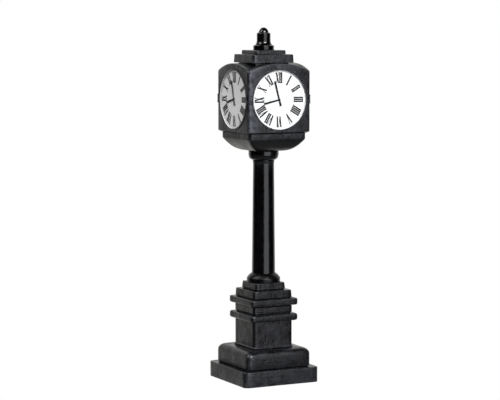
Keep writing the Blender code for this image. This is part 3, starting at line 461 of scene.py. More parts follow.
def make_materials():
    deep = (0.0005, 0.0005, 0.0006)
    soft = (0.0016, 0.0016, 0.0022)
    black = (0.0022, 0.0022, 0.0028)
    grey = (0.0085, 0.0083, 0.0115)
    # colour of paint thinned on edges and of dry-brushed strokes; on the slab and plinth also the painted
    # highlight
    pale = (0.055, 0.060, 0.068)
    # colour of the blocks' thinned edges and dry-brushed strokes, and of the painted highlight along the
    # head case's left-hand corners
    rubbed_and_highlight = (0.105, 0.112, 0.135)
    return {
        "blocks": brushed_paint("brushed_black", black, grey, rubbed_and_highlight, roughness=(0.23, 0.44),
                                stroke=(4.5, 4.5, 2.5), bump_depth=0.0044, dry_brush=0.18),
        "bands": brushed_paint("banded_black", black, grey, pale, roughness=(0.21, 0.44),
                               stroke=(2.5, 2.5, 26.0), bump_depth=0.0034, dry_brush=0.40),
        "steps": brushed_paint("stepped_black", deep, black, pale, roughness=(0.21, 0.36),
                               stroke=(2.5, 2.5, 30.0), bump_depth=0.0050, dry_brush=0.46, specular=0.42),
        "bowl": brushed_paint("bowl_black", deep, black, pale, roughness=(0.24, 0.40),
                              stroke=(3.0, 3.0, 9.0), bump_depth=0.0040, dry_brush=0.30, specular=0.38),
        "column": brushed_paint("column_black", deep, soft, pale, roughness=(0.14, 0.24),
                                stroke=(16.0, 16.0, 1.8), bump_depth=0.0012, wear_and_highlight_part=0.5),
        "collar": brushed_paint("collar_black", deep, soft, pale, roughness=(0.22, 0.40),
                                stroke=(6.0, 6.0, 12.0), bump_depth=0.0030, wear_and_highlight_part=0.0, specular=0.34),
        "finial": brushed_paint("finial_black", deep, soft, pale, roughness=(0.11, 0.20),
                                stroke=(4.0, 4.0, 8.0), bump_depth=0.0004, wear_and_highlight_part=0.0),
        "dial": enamel("dial_white", (0.955, 0.955, 0.945), (0.93, 0.93, 0.92), 0.55),
        "print": enamel("dial_print", (0.0030, 0.0030, 0.0034), (0.0055, 0.0055, 0.0062), 0.60, 0.15),
        "hand": enamel("hand_black", (0.0030, 0.0030, 0.0034), (0.0060, 0.0060, 0.0068), 0.55, 0.15),
        "crystal": clear_glass("crystal_glass", (0.30, 0.32, 0.32), 0.022),
        "brass": machined("wheel_brass", (0.62, 0.46, 0.20), (0.34, 0.25, 0.12), 0.22),
        "steel": machined("zinc_steel", (0.46, 0.47, 0.49), (0.30, 0.31, 0.33), 0.28),
        "motor": enamel("motor_grey", (0.16, 0.19, 0.21), (0.12, 0.14, 0.155), 0.40),
        "lamp": enamel("lamp_opal", (0.85, 0.83, 0.77), (0.80, 0.77, 0.70), 0.25),
    }


# ---- pedestal ----
def make_slab(materials):
    half, top = SLAB[1].x, SLAB[1].z
    wall = 0.018
    outline = [(0.0, top - wall), (half - wall, top - wall), (half - wall, 0.0), (half, 0.0),
               (half, top), (0.0, top)]
    profile = rounded(outline, [0, 0.010, 0.002, 0.005, 0.012, 0])
    shell = square_loft(profile, SLAB_CORNER, "base_slab_casting", 22)
    hand_worked(shell, amount=0.0022, scale=0.22, seed=1)
    for vert in shell.vertices:
        vert.co.z = max(0.0, vert.co.z)
    add_wear(shell)
    # a painted highlight: lighter paint along each face's left-hand corner
    paint_left_corner_highlight(shell, half, reach=0.12, strength=1.0)
    piece("base_slab_casting", shell, materials["bands"], FIXED, "cast_iron_paint", "base_slab")


def make_plinth(materials):
    half, low, top = PLINTH[1].x, PLINTH[0].z, PLINTH[1].z
    edge = 0.150 * UNIT
    outline = [(0.0, low), (half, low), (half, top - edge)]
    for step in range(1, 10):
        angle = math.pi / 2 * step / 9
        outline.append((half - edge + edge * math.cos(angle), top - edge + edge * math.sin(angle)))
    outline += [(half - edge - 0.05, top), (0.0, top)]
    profile = rounded(outline, [0, 0.026] + [0.0] * (len(outline) - 2), 4)
    block = square_loft(profile, PLINTH_CORNER, "plinth_casting", 20)
    hand_worked(block, amount=0.0025, scale=0.20, seed=2)
    add_wear(block)
    # a painted highlight: lighter paint along each face's left-hand corner
    paint_left_corner_highlight(block, half, reach=0.12, strength=1.0)
    piece("plinth_casting", block, materials["bands"], FIXED, "cast_iron_paint", "plinth_block")


def make_die(materials):
    low, top = DIE[0].z, DIE[1].z
    foot = DIE[1].x
    half = foot - DOOR_SET_BACK
    inner = half - SHEET_WALL
    strip = 0.050 * UNIT
    outline = [(inner, low), (foot, low), (foot, low + strip * 0.8), (half, low + strip), (half, top),
               (inner, top)]
    profile = rounded(outline, [0, 0.010, 0.010, 0.008, 0.003, 0])
    margin = 0.02
    first = low + strip + margin
    span = top - first - margin
    levels = 10
    tall = [(half, first + span * level / levels) for level in range(levels + 1)]
    index = next(number for number, point in enumerate(profile) if point[1] > first)
    profile = profile[:index] + tall + profile[index:]
    body = square_loft(profile, HEAD_CORNER, "die_casting", closed=True)
    hand_worked(body, amount=0.0020, scale=0.18, seed=3)
    lap = 0.015
    knuckle = 0.0175
    door_half = (DOOR[1].x - DOOR[0].x - knuckle) / 2 - lap
    opening = box_mesh((-door_half, half - 0.05, DOOR[0].z + lap),
                       (door_half, half + 0.05, DOOR[1].z - lap), "door_opening", 0.004)
    body = applied(body, [opening])
    add_wear(body, upright=0.1)
    piece("die_casting", body, materials["blocks"], FIXED, "cast_iron_paint", "pedestal_die")


def make_cornice(materials):
    low, top = CORNICE[0].z, CORNICE[1].z
    band, neck = CORNICE[1].x, 0.545 * UNIT
    lower_top, neck_top = 1.7085 * UNIT, 1.912 * UNIT
    inner = neck - 0.035
    outline = [(inner, low), (band, low), (band, lower_top), (neck - GROOVE, lower_top),
               (neck, lower_top + GROOVE), (neck, neck_top - GROOVE), (neck - GROOVE, neck_top),
               (band, neck_top), (band, top), (inner, top)]
    profile = rounded(outline, [0, 0.034, 0.034, 0.002, 0.004, 0.004, 0.002, 0.026, 0.020, 0], 7)
    body = square_loft(profile, BAND_CORNER, "cornice_casting", 18, closed=True)
    hand_worked(body, amount=0.0030, scale=0.16, seed=4)
    add_wear(body, upright=0.1)
    piece("cornice_casting", body, materials["bands"], FIXED, "cast_iron_paint", "pedestal_cornice")


def make_step_cap(materials):
    low, top = STEPS[0].z, STEPS[1].z
    shelf = 2.287 * UNIT
    draft = 0.014 * UNIT
    one, two = STEPS[1].x, 0.416 * UNIT
    bore = 0.031
    outline = [(one - 0.04, low), (one, low), (one - draft, shelf), (two - GROOVE, shelf),
               (two, shelf + GROOVE), (two - draft, top), (bore, top), (bore, top - 0.02)]
    profile = rounded(outline, [0, 0.018, 0.010, 0.002, 0.004, 0.010, 0, 0])
    body = square_loft(profile, STEP_CORNER, "step_cap_casting", closed=True)
    hand_worked(body, amount=0.0030, scale=0.14, seed=5)
    add_wear(body, upright=0.1)
    piece("step_cap_casting", body, materials["steps"], FIXED, "cast_iron_paint", "pedestal_step_cap")


# ---- column ----
def make_collar(materials):
    low, top = COLLAR[0].z, COLLAR[1].z
    radius = COLLAR[1].x
    bore = SHAFT[1].x + 0.0008
    band = 2.570 * UNIT
    lip = 0.302 * UNIT
    bulge = 0.008 * UNIT
    outline = [(bore, low), (radius, low), (radius, band),
               ((radius + lip) / 2 + bulge, (band + top) / 2 + bulge), (lip, top), (bore, top)]
    collar = turned(rounded(outline, [0, 0.006, 0.004, 0.014, 0.003, 0], 4), "collar_casting")
    hand_worked(collar, amount=0.0020, scale=0.10, seed=6)
    add_wear(collar)
    piece("collar_casting", collar, materials["collar"], FIXED, "column_paint", "column_collar")


def make_shaft(materials):
    foot, head = SHAFT[0].z, SHAFT[1].z
    thick, slim = SHAFT[1].x, 0.2635 * UNIT
    inner = slim - 0.012
    levels = 26
    parts = [level / levels for level in range(levels + 1)]
    side = [(thick + (slim - thick) * part, foot + (head - foot) * part) for part in parts]
    body = turned([(inner, foot)] + side + [(inner, head)], "shaft_casting")
    hand_worked(body, amount=0.0022, scale=0.30, seed=7)
    add_wear(body)
    piece("shaft_casting", body, materials["column"], FIXED, "column_paint", "column_shaft")


def make_capital(materials):
    low, top = CAPITAL[0].z, CAPITAL[1].z
    neck, rim = 0.266 * UNIT, CAPITAL[1].x
    inner = neck - 0.02
    centre, reach = 5.625 * UNIT, 0.105 * UNIT
    outline = [(inner, low), (neck, low)]
    for step in range(9):
        angle = math.radians(-85 + 85 * step / 8)
        outline.append((neck + reach * math.cos(angle), centre + reach * math.sin(angle)))
    outline += [(rim, centre + 0.008), (rim, top), (inner, top)]
    capital = turned(rounded(outline, [0, 0.003] + [0] * 9 + [0.006, 0.012, 0], 4), "capital_casting")
    hand_worked(capital, amount=0.0020, scale=0.10, seed=8)
    add_wear(capital)
    piece("capital_casting", capital, materials["column"], FIXED, "column_paint", "column_capital")


# ---- head ----
def make_bowl(materials):
    low, top = BOWL[0].z, BOWL[1].z
    foot, rim = 0.360 * UNIT, BOWL[1].x
    curve_top = 6.060 * UNIT
    wall = 0.028
    steps = 18
    parts = [step / steps for step in range(steps + 1)]
    outer = [(foot + (rim - foot) * part, low + (curve_top - low) * part ** 2.1) for part in parts]
    inner = [(half - wall, height + wall) for half, height in outer[::-1] if height < top - 0.06]
    outline = outer + [(rim, top), (rim - wall, top)] + inner
    radii = [0.006] + [0.0] * (steps - 1) + [0.03, 0.004, 0.004] + [0.0] * len(inner)
    profile = rounded(outline, radii, 5, closed=True)
    body = square_loft(profile, HEAD_CORNER, "bowl_casting", 20, closed=True)
    hand_worked(body, amount=0.0028, scale=0.20, seed=9)
    add_wear(body)
    piece("bowl_casting", body, materials["bowl"], FIXED, "cast_iron_paint", "head_bowl")


def corner_rounded(x, y, half, radius):
    """Moves a point of a square plan so that the plan's corners become arcs of the given radius."""
    straight = half - radius
    u = (abs(x) - straight) / radius
    v = (abs(y) - straight) / radius
    if u <= 0.0 or v <= 0.0:
        return x, y
    across = straight + radius * u * math.sqrt(1.0 - v * v / 2)
    along = straight + radius * v * math.sqrt(1.0 - u * u / 2)
    return math.copysign(across, x), math.copysign(along, y)


def grid_lines(half, plan_corner, edge):
    """Places of a square grid's lines, closer together where corners and edges are rounded."""
    steps = 34
    near = half - max(plan_corner, edge)
    lines = [near * (2 * step / steps - 1) for step in range(steps + 1)]
    if not plan_corner:
        return [-half] + lines[1:-1] + [half]
    depths = [edge * (1 - math.sin(math.pi / 2 * step / 4)) for step in range(1, 4)]
    depths += [0.0, edge] + [edge + (plan_corner - edge) * part for part in (0.4, 0.7)]
    outer = sorted([half - depth for depth in depths])
    return [-line for line in outer[::-1]] + lines + outer


def groined_head(half, low, corner, crown, name, plan_corner=0.0, edge=0.0, foot=0.0):
    """A square block under two crossing segmental arches, its walls and top divided into a grid.

    plan_corner rounds its upright corners, edge its top edges, and foot bevels its bottom edge.
    """
    levels = 18
    rise = crown - corner
    radius = (half ** 2 + rise ** 2) / (2 * rise)
    lines = grid_lines(half, plan_corner, edge)
    last = len(lines) - 1

    def height(x, y):
        arch = crown - radius + math.sqrt(radius ** 2 - min(abs(x), abs(y)) ** 2)
        depth = half - max(abs(x), abs(y))
        if depth >= edge:
            return arch
        return arch - (edge - math.sqrt(max(0.0, edge ** 2 - (edge - depth) ** 2)))

    def plan(x, y):
        return corner_rounded(x, y, half, plan_corner) if plan_corner else (x, y)

    bm = bmesh.new()
    grid = [[bm.verts.new((*plan(x, y), height(x, y))) for y in lines] for x in lines]
    for i in range(last):
        for j in range(last):
            corners = [grid[i][j], grid[i + 1][j], grid[i + 1][j + 1], grid[i][j + 1]]
            falling = i + j == last - 1
            if falling:
                corners = corners[1:] + corners[:1]
            if i == j or falling:
                bm.faces.new((corners[0], corners[1], corners[2]))
                bm.faces.new((corners[0], corners[2], corners[3]))
            else:
                bm.faces.new(corners)
    rim = [grid[k][0] for k in range(last)] + [grid[last][k] for k in range(last)]
    rim += [grid[last - k][last] for k in range(last)] + [grid[0][last - k] for k in range(last)]
    places = [vert.co.copy() for vert in rim]
    shares = [level / levels for level in range(levels - 1, 0, -1)]
    courses = [[(p.x, p.y, low + (p.z - low) * share) for p in places] for share in shares]
    if foot:
        draw = 1.0 - foot / half
        courses.append([(p.x, p.y, low + 0.6 * foot) for p in places])
        courses.append([(p.x * draw, p.y * draw, low) for p in places])
    else:
        courses.append([(p.x, p.y, low) for p in places])
    above = rim
    for course in courses:
        ring = [bm.verts.new(place) for place in course]
        for index in range(len(rim)):
            following = (index + 1) % len(rim)
            bm.faces.new((ring[index], ring[following], above[following], above[index]))
        above = ring
    bm.faces.new(above[::-1])
    return finish_mesh(bm, name)


def softened(mesh, width, segments, angle):
    """The mesh with its edges sharper than angle, in degrees, rolled over."""
    obj = new_object("work", mesh)
    bevel = obj.modifiers.new("bevel", "BEVEL")
    bevel.width = width
    bevel.segments = segments
    bevel.limit_method = "ANGLE"
    bevel.angle_limit = math.radians(angle)
    return modified(obj)


def make_head_case(materials):
    """Case and lid as one shell, hollow, open below and through its four round windows."""
    low, corner, crown = CASE[0].z, 7.720 * UNIT, 7.925 * UNIT
    foot = 0.030
    top_edge = 0.015
    shell = groined_head(HEAD_HALF, low, corner, crown, "case_casting", HEAD_CORNER, top_edge, foot)
    hand_worked(shell, amount=0.0026, scale=0.22, seed=10)
    curb_half = 0.460 * UNIT
    curb = box_mesh((-curb_half, -curb_half, corner), (curb_half, curb_half, LID[1].z), "curb", 0.006)
    shell = applied(shell, [curb], "UNION")
    inner = HEAD_HALF - SHEET_WALL
    hollow = groined_head(inner, low + foot, corner - SHEET_WALL, crown - SHEET_WALL, "hollow")
    throat_half = inner - foot
    throat = box_mesh((-throat_half, -throat_half, low - 0.01), (throat_half, throat_half, low + 2 * foot),
                      "throat")
    hole_radius = CRYSTAL_RADIUS + 0.0015
    reach = HEAD_HALF + 0.05
    hole = plug(hole_radius, -reach, reach, "hole", ROUND_STEPS)
    across = hole.copy()
    across.transform(Matrix.Rotation(math.radians(90), 4, "Z"))
    for cutter in (hole, across):
        cutter.transform(TO_DIAL)
    shell = applied(shell, [hollow, throat, hole, across])
    add_wear(shell)
    # a painted highlight: lighter paint along each face's left-hand corner
    paint_left_corner_highlight(shell, HEAD_HALF, reach=0.20, strength=1.1)
    piece("case_casting", shell, materials["blocks"], FIXED, "cast_iron_paint", "head_case", "head_lid")


def make_roof(materials):
    rows = (("roof_lower_casting", ROOF_LOW, "roof_lower_slab", 12, 0.006),
            ("roof_upper_casting", ROOF_HIGH, "roof_upper_slab", 13, 0.003))
    for name, box, node, seed, draft in rows:
        half, low, top = box[1].x, box[0].z, box[1].z
        outline = [(0.0, low), (half, low), (half - draft, top), (0.0, top)]
        body = square_loft(rounded(outline, [0, 0.006, 0.012, 0]), BAND_CORNER, name)
        hand_worked(body, amount=0.0026, scale=0.12, seed=seed)
        add_wear(body)
        piece(name, body, materials["bands"], FIXED, "cast_iron_paint", node)


def make_finial(materials):
    low, tip, radius = FINIAL[0].z, FINIAL[1].z, FINIAL[1].x
    neck = 0.172 * UNIT
    dome = 0.126 * UNIT
    flare_low, flare_high = 8.355 * UNIT, 8.480 * UNIT
    neck_top = 8.655 * UNIT
    shoulder = radius - 0.004
    outline = [(0.0, low), (radius, low), (radius, flare_low)]
    for step in range(1, 9):
        angle = math.pi / 2 * step / 8
        outline.append((shoulder - (shoulder - neck) * math.sin(angle),
                        flare_high - (flare_high - flare_low) * math.cos(angle)))
    outline += [(neck, neck_top)]
    for step in range(1, 10):
        angle = math.pi / 2 * step / 10
        outline.append((dome * math.cos(angle), neck_top + (tip - neck_top) * math.sin(angle)))
    outline += [(0.0, tip)]
    profile = rounded(outline, [0, 0.006, 0.010] + [0] * 8 + [0.008] + [0] * 10, 4)
    body = turned(profile, "finial_casting", 72)
    hand_worked(body, amount=0.0010, scale=0.10, seed=14)
    highest = max(vert.co.z for vert in body.vertices)
    body.transform(Matrix.Translation((0, 0, tip - highest)))
    add_wear(body)
    piece("finial_casting", body, materials["finial"], FIXED, "cast_iron_paint", "finial")


# ---- dials ----
STROKE = 0.0200                     # width of a numeral's thick strokes
HAIR = 0.0080                       # width of its thin strokes
SERIF = HAIR * 0.9                  # height of the bars at a numeral's foot and head
SERIF_REACH = 0.0105                # half the length of those bars on V and X
NUMERAL_INNER = 0.560               # the ring of numerals, as parts of the window's radius
NUMERAL_OUTER = 0.922
NUMERALS = ("XII", "I", "II", "III", "IIII", "V", "VI", "VII", "VIII", "IX", "X", "XI")
GLYPH_WIDTH = {"I": 0.0245, "V": 0.046, "X": 0.048}

HUB_RADIUS = 0.0165
MINUTE_WIDTH = 0.0250
HOUR_WIDTH = 0.0270
HOUR_PIPE = 0.0068                  # hole in the hour hand, for the minute hand's arbor
MINUTE_LENGTH = 0.650 * WINDOW_RADIUS
MINUTE_TAIL = 0.220 * WINDOW_RADIUS
HOUR_LENGTH = 0.580 * WINDOW_RADIUS
MINUTE_ANGLE = math.radians(-15.0)  # from XII, positive clockwise
HOUR_ANGLE = math.radians(257.0)


def quad(a, b, half_low, half_high):
    """A stroke's outline from point a to point b, with its half widths across."""
    return [(a[0] - half_low, a[1]), (a[0] + half_low, a[1]),
            (b[0] + half_high, b[1]), (b[0] - half_high, b[1])]


def glyph_strokes(letter, x, height):
    """The strokes of one capital standing at x, as outlines; its foot is at 0."""
    width = GLYPH_WIDTH[letter]
    wide, thin = STROKE / 2, HAIR / 2
    lean = width * 0.36
    if letter == "I":
        shapes = [quad((x, 0), (x, height), wide, wide)]
        feet, heads, reach = [x], [x], width / 2
    elif letter == "V":
        shapes = [quad((x, 0), (x - lean, height), wide * 0.9, wide),
                  quad((x, 0), (x + lean, height), thin, thin)]
        feet, heads, reach = [], [x - lean, x + lean], SERIF_REACH
    else:
        shapes = [quad((x + lean, 0), (x - lean, height), wide, wide),
                  quad((x - lean, 0), (x + lean, height), thin, thin)]
        feet, heads, reach = [x - lean, x + lean], [x - lean, x + lean], SERIF_REACH
    shapes += [quad((centre, 0), (centre, SERIF), reach, reach) for centre in feet]
    shapes += [quad((centre, height - SERIF), (centre, height), reach, reach) for centre in heads]
    return shapes


def numeral_shapes(text, height):
    """The strokes of a whole numeral, centred on 0."""
    x = -sum(GLYPH_WIDTH[letter] for letter in text) / 2
    shapes = []
    for letter in text:
        shapes += glyph_strokes(letter, x + GLYPH_WIDTH[letter] / 2, height)
        x += GLYPH_WIDTH[letter]
    return shapes


def numerals_mesh():
    """The ring of Roman numerals, feet towards the centre, as thin printed paint on the dial.

    Strokes that cross differ a little in thickness, so that no two faces coincide.
    """
    bm = bmesh.new()
    foot = NUMERAL_INNER * WINDOW_RADIUS
    height = (NUMERAL_OUTER - NUMERAL_INNER) * WINDOW_RADIUS
    thickness = 0.0004
    layer = 0
    for hour, text in enumerate(NUMERALS):
        angle = math.radians(30 * hour)
        for shape in numeral_shapes(text, height):
            layer += 1
            front = DIAL_FRONT - thickness - 0.00002 * (layer % 7)
            rings = []
            for y in (front, DIAL_FRONT - 0.00005):
                ring = []
                for across, up in shape:
                    radius = foot + up
                    x = across * math.cos(angle) + radius * math.sin(angle)
                    z = -across * math.sin(angle) + radius * math.cos(angle)
                    ring.append(bm.verts.new((x, y, z + DIAL_CENTRE)))
                rings.append(ring)
            near, far = rings
            bm.faces.new(near)
            bm.faces.new(far[::-1])
            for index in range(4):
                following = (index + 1) % 4
                bm.faces.new((near[index], far[index], far[following], near[following]))
    bmesh.ops.recalc_face_normals(bm, faces=bm.faces)
    mesh = bpy.data.meshes.new("numerals")
    bm.to_mesh(mesh)
    bm.free()
    return mesh


def dial_mesh():
    """The dial plate, a flat disc with a raised rim and a hole for the pipes of the hands."""
    bore = 0.0145
    rim = DIAL_RADIUS - 0.0065
    rim_front, back = DIAL[0].y, DIAL[1].y
    outline = [(bore, DIAL_FRONT), (rim, DIAL_FRONT), (rim, rim_front), (DIAL_RADIUS, rim_front),
               (DIAL_RADIUS, back), (bore, back)]
    profile = rounded(outline, [0, 0.002, 0.0012, 0.0012, 0.001, 0], 3)
    mesh = turned(profile, "dial_plate", DIAL_STEPS, "Y")
    mesh.transform(TO_DIAL)
    return mesh


def bezel_mesh():
    """The bezel ring with its hinge knuckle and tab, in the front face's place."""
    front, back = -HEAD_HALF - 0.007, -HEAD_HALF - LEAF_GAP
    outline = [(WINDOW_RADIUS, back), (WINDOW_RADIUS, front), (BEZEL_RADIUS, front), (BEZEL_RADIUS, back)]
    profile = rounded(outline, [0.0008, 0.0022, 0.0030, 0.0008], 4, closed=True)
    ring = turned(profile, "bezel_ring", DIAL_STEPS, "Y")
    ring.transform(TO_DIAL)
    hinge_x, hinge_y = BEZEL[0].x + BARREL_RADIUS, -HEAD_HALF - HINGE_OUT
    barrel = hinge_barrel((hinge_x, hinge_y, DIAL_CENTRE), 0.04)
    tab_half = 0.0385
    tab = box_mesh((hinge_x + 0.0030, hinge_y - 0.0012, DIAL_CENTRE - tab_half),
                   (hinge_x + 0.018, hinge_y + 0.0054, DIAL_CENTRE + tab_half), "tab", 0.0008)
    return applied(ring, [tab, barrel], "UNION")


def crystal_mesh():
    """The flat glass inside the bezel."""
    mesh = plug(CRYSTAL_RADIUS, CRYSTAL[0].y, CRYSTAL[1].y, "crystal", DIAL_STEPS, bevel=0.0008)
    mesh.transform(TO_DIAL)
    return mesh


def hand_mesh(length, tail, width, box, hole, name):
    """A baton with softened edges, pointing up from the dial's centre, widest at its ends."""
    front, back = box[0].y, box[1].y
    root, tip = width * 0.38, width / 2
    tail_half = width * 0.6 if tail else root
    end = -tail if tail else -0.7 * HUB_RADIUS
    outline = [(-tip, length), (tip, length), (root, 0.0),
               (tail_half, end), (-tail_half, end), (-root, 0.0)]
    bm = bmesh.new()
    face = bm.faces.new([bm.verts.new((x, front, z)) for x, z in outline])
    made = bmesh.ops.extrude_face_region(bm, geom=[face])
    moved = [item for item in made["geom"] if isinstance(item, bmesh.types.BMVert)]
    bmesh.ops.translate(bm, verts=moved, vec=(0, back - front, 0))
    blade = finish_mesh(bm, name)
    boss = plug(HUB_RADIUS, front, back, "boss", 48, bevel=0.0006)
    baton = applied(blade, [boss], "UNION")
    if hole:
        past = 0.01
        baton = applied(baton, [plug(hole, front - past, back + past, "bore", 32)])
    return softened(baton, width=0.0005, segments=2, angle=40.0)


def make_dials(materials):
    """Dial, print, bezel, glass and hands, made once for the front and turned to each side."""
    dial = dial_mesh()
    numerals = numerals_mesh()
    bezel = bezel_mesh()
    add_wear(bezel, full=300.0)
    crystal = crystal_mesh()
    minute = hand_mesh(MINUTE_LENGTH, MINUTE_TAIL, MINUTE_WIDTH, MINUTE_HAND, 0.0, "minute")
    hour = hand_mesh(HOUR_LENGTH, 0.0, HOUR_WIDTH, HOUR_HAND, HOUR_PIPE, "hour")
    for mesh, angle in ((minute, MINUTE_ANGLE), (hour, HOUR_ANGLE)):
        mesh.transform(TO_DIAL @ Matrix.Rotation(angle, 4, "Y"))
    rows = (
        ("dial_plate", dial, "dial", "", "dial_enamel", "dial"),
        ("numerals", numerals, "print", "", "hand_paint", ""),
        ("bezel_ring", bezel, "blocks", "glazed_bezel", "cast_iron_paint", "bezel"),
        ("crystal_pane", crystal, "crystal", "glazed_bezel", "crystal_glass", "crystal"),
        ("minute_baton", minute, "hand", "minute_work", "hand_paint", "minute_hand"),
        ("hour_baton", hour, "hand", "hour_work", "hand_paint", "hour_hand"),
    )
    for side, turn in SIDES.items():
        for name, mesh, material, work, slot, node in rows:
            copy = mesh.copy()
            copy.transform(Matrix.Rotation(math.radians(turn), 4, "Z"))
            body = f"{side}_{work}" if work else FIXED
            nodes = [f"{side}_{node}"] if node else []
            piece(f"{side}_{name}", copy, materials[material], body, slot, *nodes)


def make_door(materials):
    """The service door: a slightly raised panel with softened edges, on its knuckle."""
    low, high = DOOR
    middle = (low.z + high.z) / 2
    width = 0.360
    border = 0.030
    die_face = DIE[1].y - DOOR_SET_BACK
    back_face = die_face + LEAF_GAP
    panel = box_mesh((low.x, back_face, low.z), (low.x + width, back_face + 0.008, high.z), "panel", 0.002)
    raised = box_mesh((low.x + border, back_face + 0.006, low.z + border),
                      (low.x + width - border, back_face + 0.0105, high.z - border), "raised", 0.0018)
    hinge_x, hinge_y = high.x - BARREL_RADIUS, die_face + HINGE_OUT
    barrel = hinge_barrel((hinge_x, hinge_y, middle), 0.06)
    tab_half = 0.0585
    tab = box_mesh((hinge_x - 0.020, hinge_y - 0.0054, middle - tab_half),
                   (hinge_x - 0.003, hinge_y + 0.0012, middle + tab_half), "tab", 0.0008)
    body = applied(panel, [raised, tab, barrel], "UNION")
    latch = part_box("access_door_latch")
    latch_x = (latch[0].x + latch[1].x) / 2
    hole, reach = 0.0063, 0.05
    bore = plug(hole, -reach, reach, "bore", 32)
    bore.transform(Matrix.Translation((latch_x, back_face, middle)))
    body = applied(body, [bore])
    add_wear(body, full=300.0)
    piece("service_door_panel", body, materials["blocks"], "service_door", "cast_iron_paint", "access_door")


# ---- pieces that keep their CAD shape ----
def finish_kept_nodes(materials):
    """Gives each CAD node that stays visible its finish, by the end of its name."""
    kinds = {"_arbor": "brass", "_wheel": "brass", "_hinge": "blocks", "_latch": "steel",
             "drive_rod": "steel", "inner_mast": "steel", "movement_frame": "steel",
             "conduit_stub": "steel", "drive_motor": "motor", "dial_lamp": "lamp"}
    for name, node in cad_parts.items():
        for ending, material in kinds.items():
            if name.endswith(ending):
                node.data.materials.clear()
                node.data.materials.append(materials[material])


# ---- stage ----
def area_light(name, azimuth, height, distance, size, energy, aim_height, colour=(1.0, 1.0, 1.0)):
    """A soft light; azimuth is measured from the photograph's viewpoint, positive to its right."""
    turn = VIEW_AZIMUTH - math.radians(azimuth)
    light = bpy.data.lights.new(name, "AREA")
    light.shape = "RECTANGLE"
    light.size, light.size_y = size
    light.energy = energy
    light.color = colour
    obj = new_object(name, light)
    obj.location = (-math.sin(turn) * distance, -math.cos(turn) * distance, height)
    aim = Vector((0.0, 0.0, aim_height))
    obj.rotation_euler = (aim - obj.location).to_track_quat("-Z", "Y").to_euler()


def make_world():
    """A pale room: bright behind the clock, dark on the viewer's side, with a pale ground."""
    world = bpy.data.worlds.new("studio")
    bpy.context.scene.world = world
    world.use_nodes = True
    tree = world.node_tree
    link = tree.links.new
    background = tree.nodes["Background"]
    coordinates = tree.nodes.new("ShaderNodeTexCoord")

    # walls: brighter the further a direction points the way that the camera looks
    facing = tree.nodes.new("ShaderNodeVectorMath")
    facing.operation = "DOT_PRODUCT"
    facing.inputs[1].default_value = FORWARD
    link(coordinates.outputs["Generated"], facing.inputs[0])
    remap = tree.nodes.new("ShaderNodeMath")
    remap.operation = "MULTIPLY_ADD"
    remap.inputs[1].default_value = 0.5
    remap.inputs[2].default_value = 0.5
    link(facing.outputs["Value"], remap.inputs[0])
    walls = tree.nodes.new("ShaderNodeValToRGB")
    stops = ((0.0, 0.005), (0.70, 0.008), (0.84, 0.75), (1.0, 0.85))
    elements = walls.color_ramp.elements
    while len(elements) < len(stops):
        elements.new(0.5)
    for element, (position, level) in zip(elements, stops):
        element.position = position
        element.color = (level, level * 1.01, level * 0.97, 1.0)
    link(remap.outputs[0], walls.inputs["Fac"])

    # ground: light thrown back up by the floor
    split = tree.nodes.new("ShaderNodeSeparateXYZ")
    link(coordinates.outputs["Generated"], split.inputs["Vector"])
    ground = tree.nodes.new("ShaderNodeMapRange")
    ground.interpolation_type = "SMOOTHSTEP"
    for socket, value in (("From Min", -0.20), ("From Max", -0.75), ("To Min", 0.0), ("To Max", 0.24)):
        ground.inputs[socket].default_value = value
    link(split.outputs["Z"], ground.inputs["Value"])
    room = tree.nodes.new("ShaderNodeMix")
    room.data_type = "RGBA"
    room.blend_type = "LIGHTEN"
    room.inputs[0].default_value = 1.0
    link(walls.outputs["Color"], room.inputs[6])
    link(ground.outputs["Result"], room.inputs[7])

    # the camera itself sees plain white
    path = tree.nodes.new("ShaderNodeLightPath")
    seen = tree.nodes.new("ShaderNodeMix")
    seen.data_type = "RGBA"
    link(path.outputs["Is Camera Ray"], seen.inputs[0])
    link(room.outputs[2], seen.inputs[6])
    seen.inputs[7].default_value = (1.0, 1.0, 1.0, 1.0)
    link(seen.outputs[2], background.inputs["Color"])


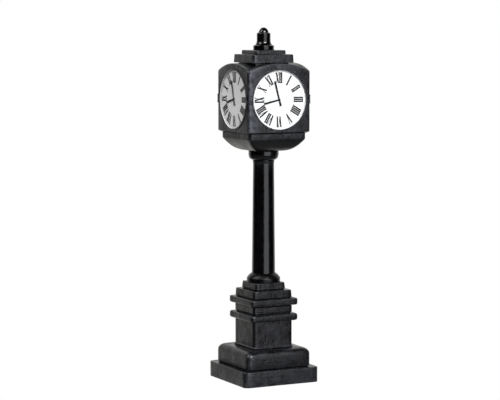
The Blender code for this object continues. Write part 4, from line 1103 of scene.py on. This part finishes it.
def make_floor():
    """A plain white floor, seen by the camera alone: the light that it sends up is part of the world."""
    half, top = 60.0, -0.001
    mesh = box_mesh((-half, -half, top - 0.02), (half, half, top), "floor")
    floor = new_object("floor", mesh)
    n = Nodes("floor_white")
    n.shader.inputs["Base Color"].default_value = (0.0, 0.0, 0.0, 1.0)
    n.shader.inputs["Specular IOR Level"].default_value = 0.0
    n.shader.inputs["Emission Color"].default_value = (1.0, 1.0, 1.0, 1.0)
    n.shader.inputs["Emission Strength"].default_value = 1.0
    floor.data.materials.append(n.material)
    floor.visible_diffuse = False
    floor.visible_glossy = False
    floor.visible_transmission = False
    floor.visible_shadow = False


def make_camera():
    """The photograph's viewpoint."""
    data = bpy.data.cameras.new("camera")
    data.lens = LENS
    data.sensor_width = SENSOR
    data.clip_end = 500.0
    camera = new_object("camera", data)
    camera.location = (-CAMERA_DISTANCE * math.sin(VIEW_AZIMUTH), -CAMERA_DISTANCE * math.cos(VIEW_AZIMUTH),
                       CAMERA_HEIGHT)
    turn = VIEW_AZIMUTH - CAMERA_YAW
    level = math.cos(CAMERA_PITCH)
    aim = Vector((math.sin(turn) * level, math.cos(turn) * level, -math.sin(CAMERA_PITCH)))
    camera.rotation_euler = aim.to_track_quat("-Z", "Y").to_euler()
    bpy.context.scene.camera = camera


def make_stage():
    """World, floor and three lights: a tall softbox and a high key on the right, one on the left."""
    make_world()
    make_floor()
    area_light("softbox", azimuth=30.5, height=3.6, distance=16.0, size=(14.0, 12.6), energy=1030.0,
               aim_height=2.6, colour=(0.95, 0.96, 1.0))
    area_light("key", azimuth=25.0, height=12.0, distance=13.0, size=(9.0, 5.0), energy=2550.0,
               aim_height=2.6, colour=(0.97, 0.98, 1.0))
    area_light("side", azimuth=-68.0, height=13.0, distance=11.0, size=(9.0, 9.0), energy=1150.0,
               aim_height=2.5)
    bpy.context.scene.view_settings.view_transform = "Standard"


def main():
    materials = make_materials()
    make_camera()
    for make in (make_slab, make_plinth, make_die, make_cornice, make_step_cap,
                 make_collar, make_shaft, make_capital,
                 make_bowl, make_head_case, make_roof, make_finial, make_dials, make_door):
        make(materials)
    finish_kept_nodes(materials)
    make_stage()


main()
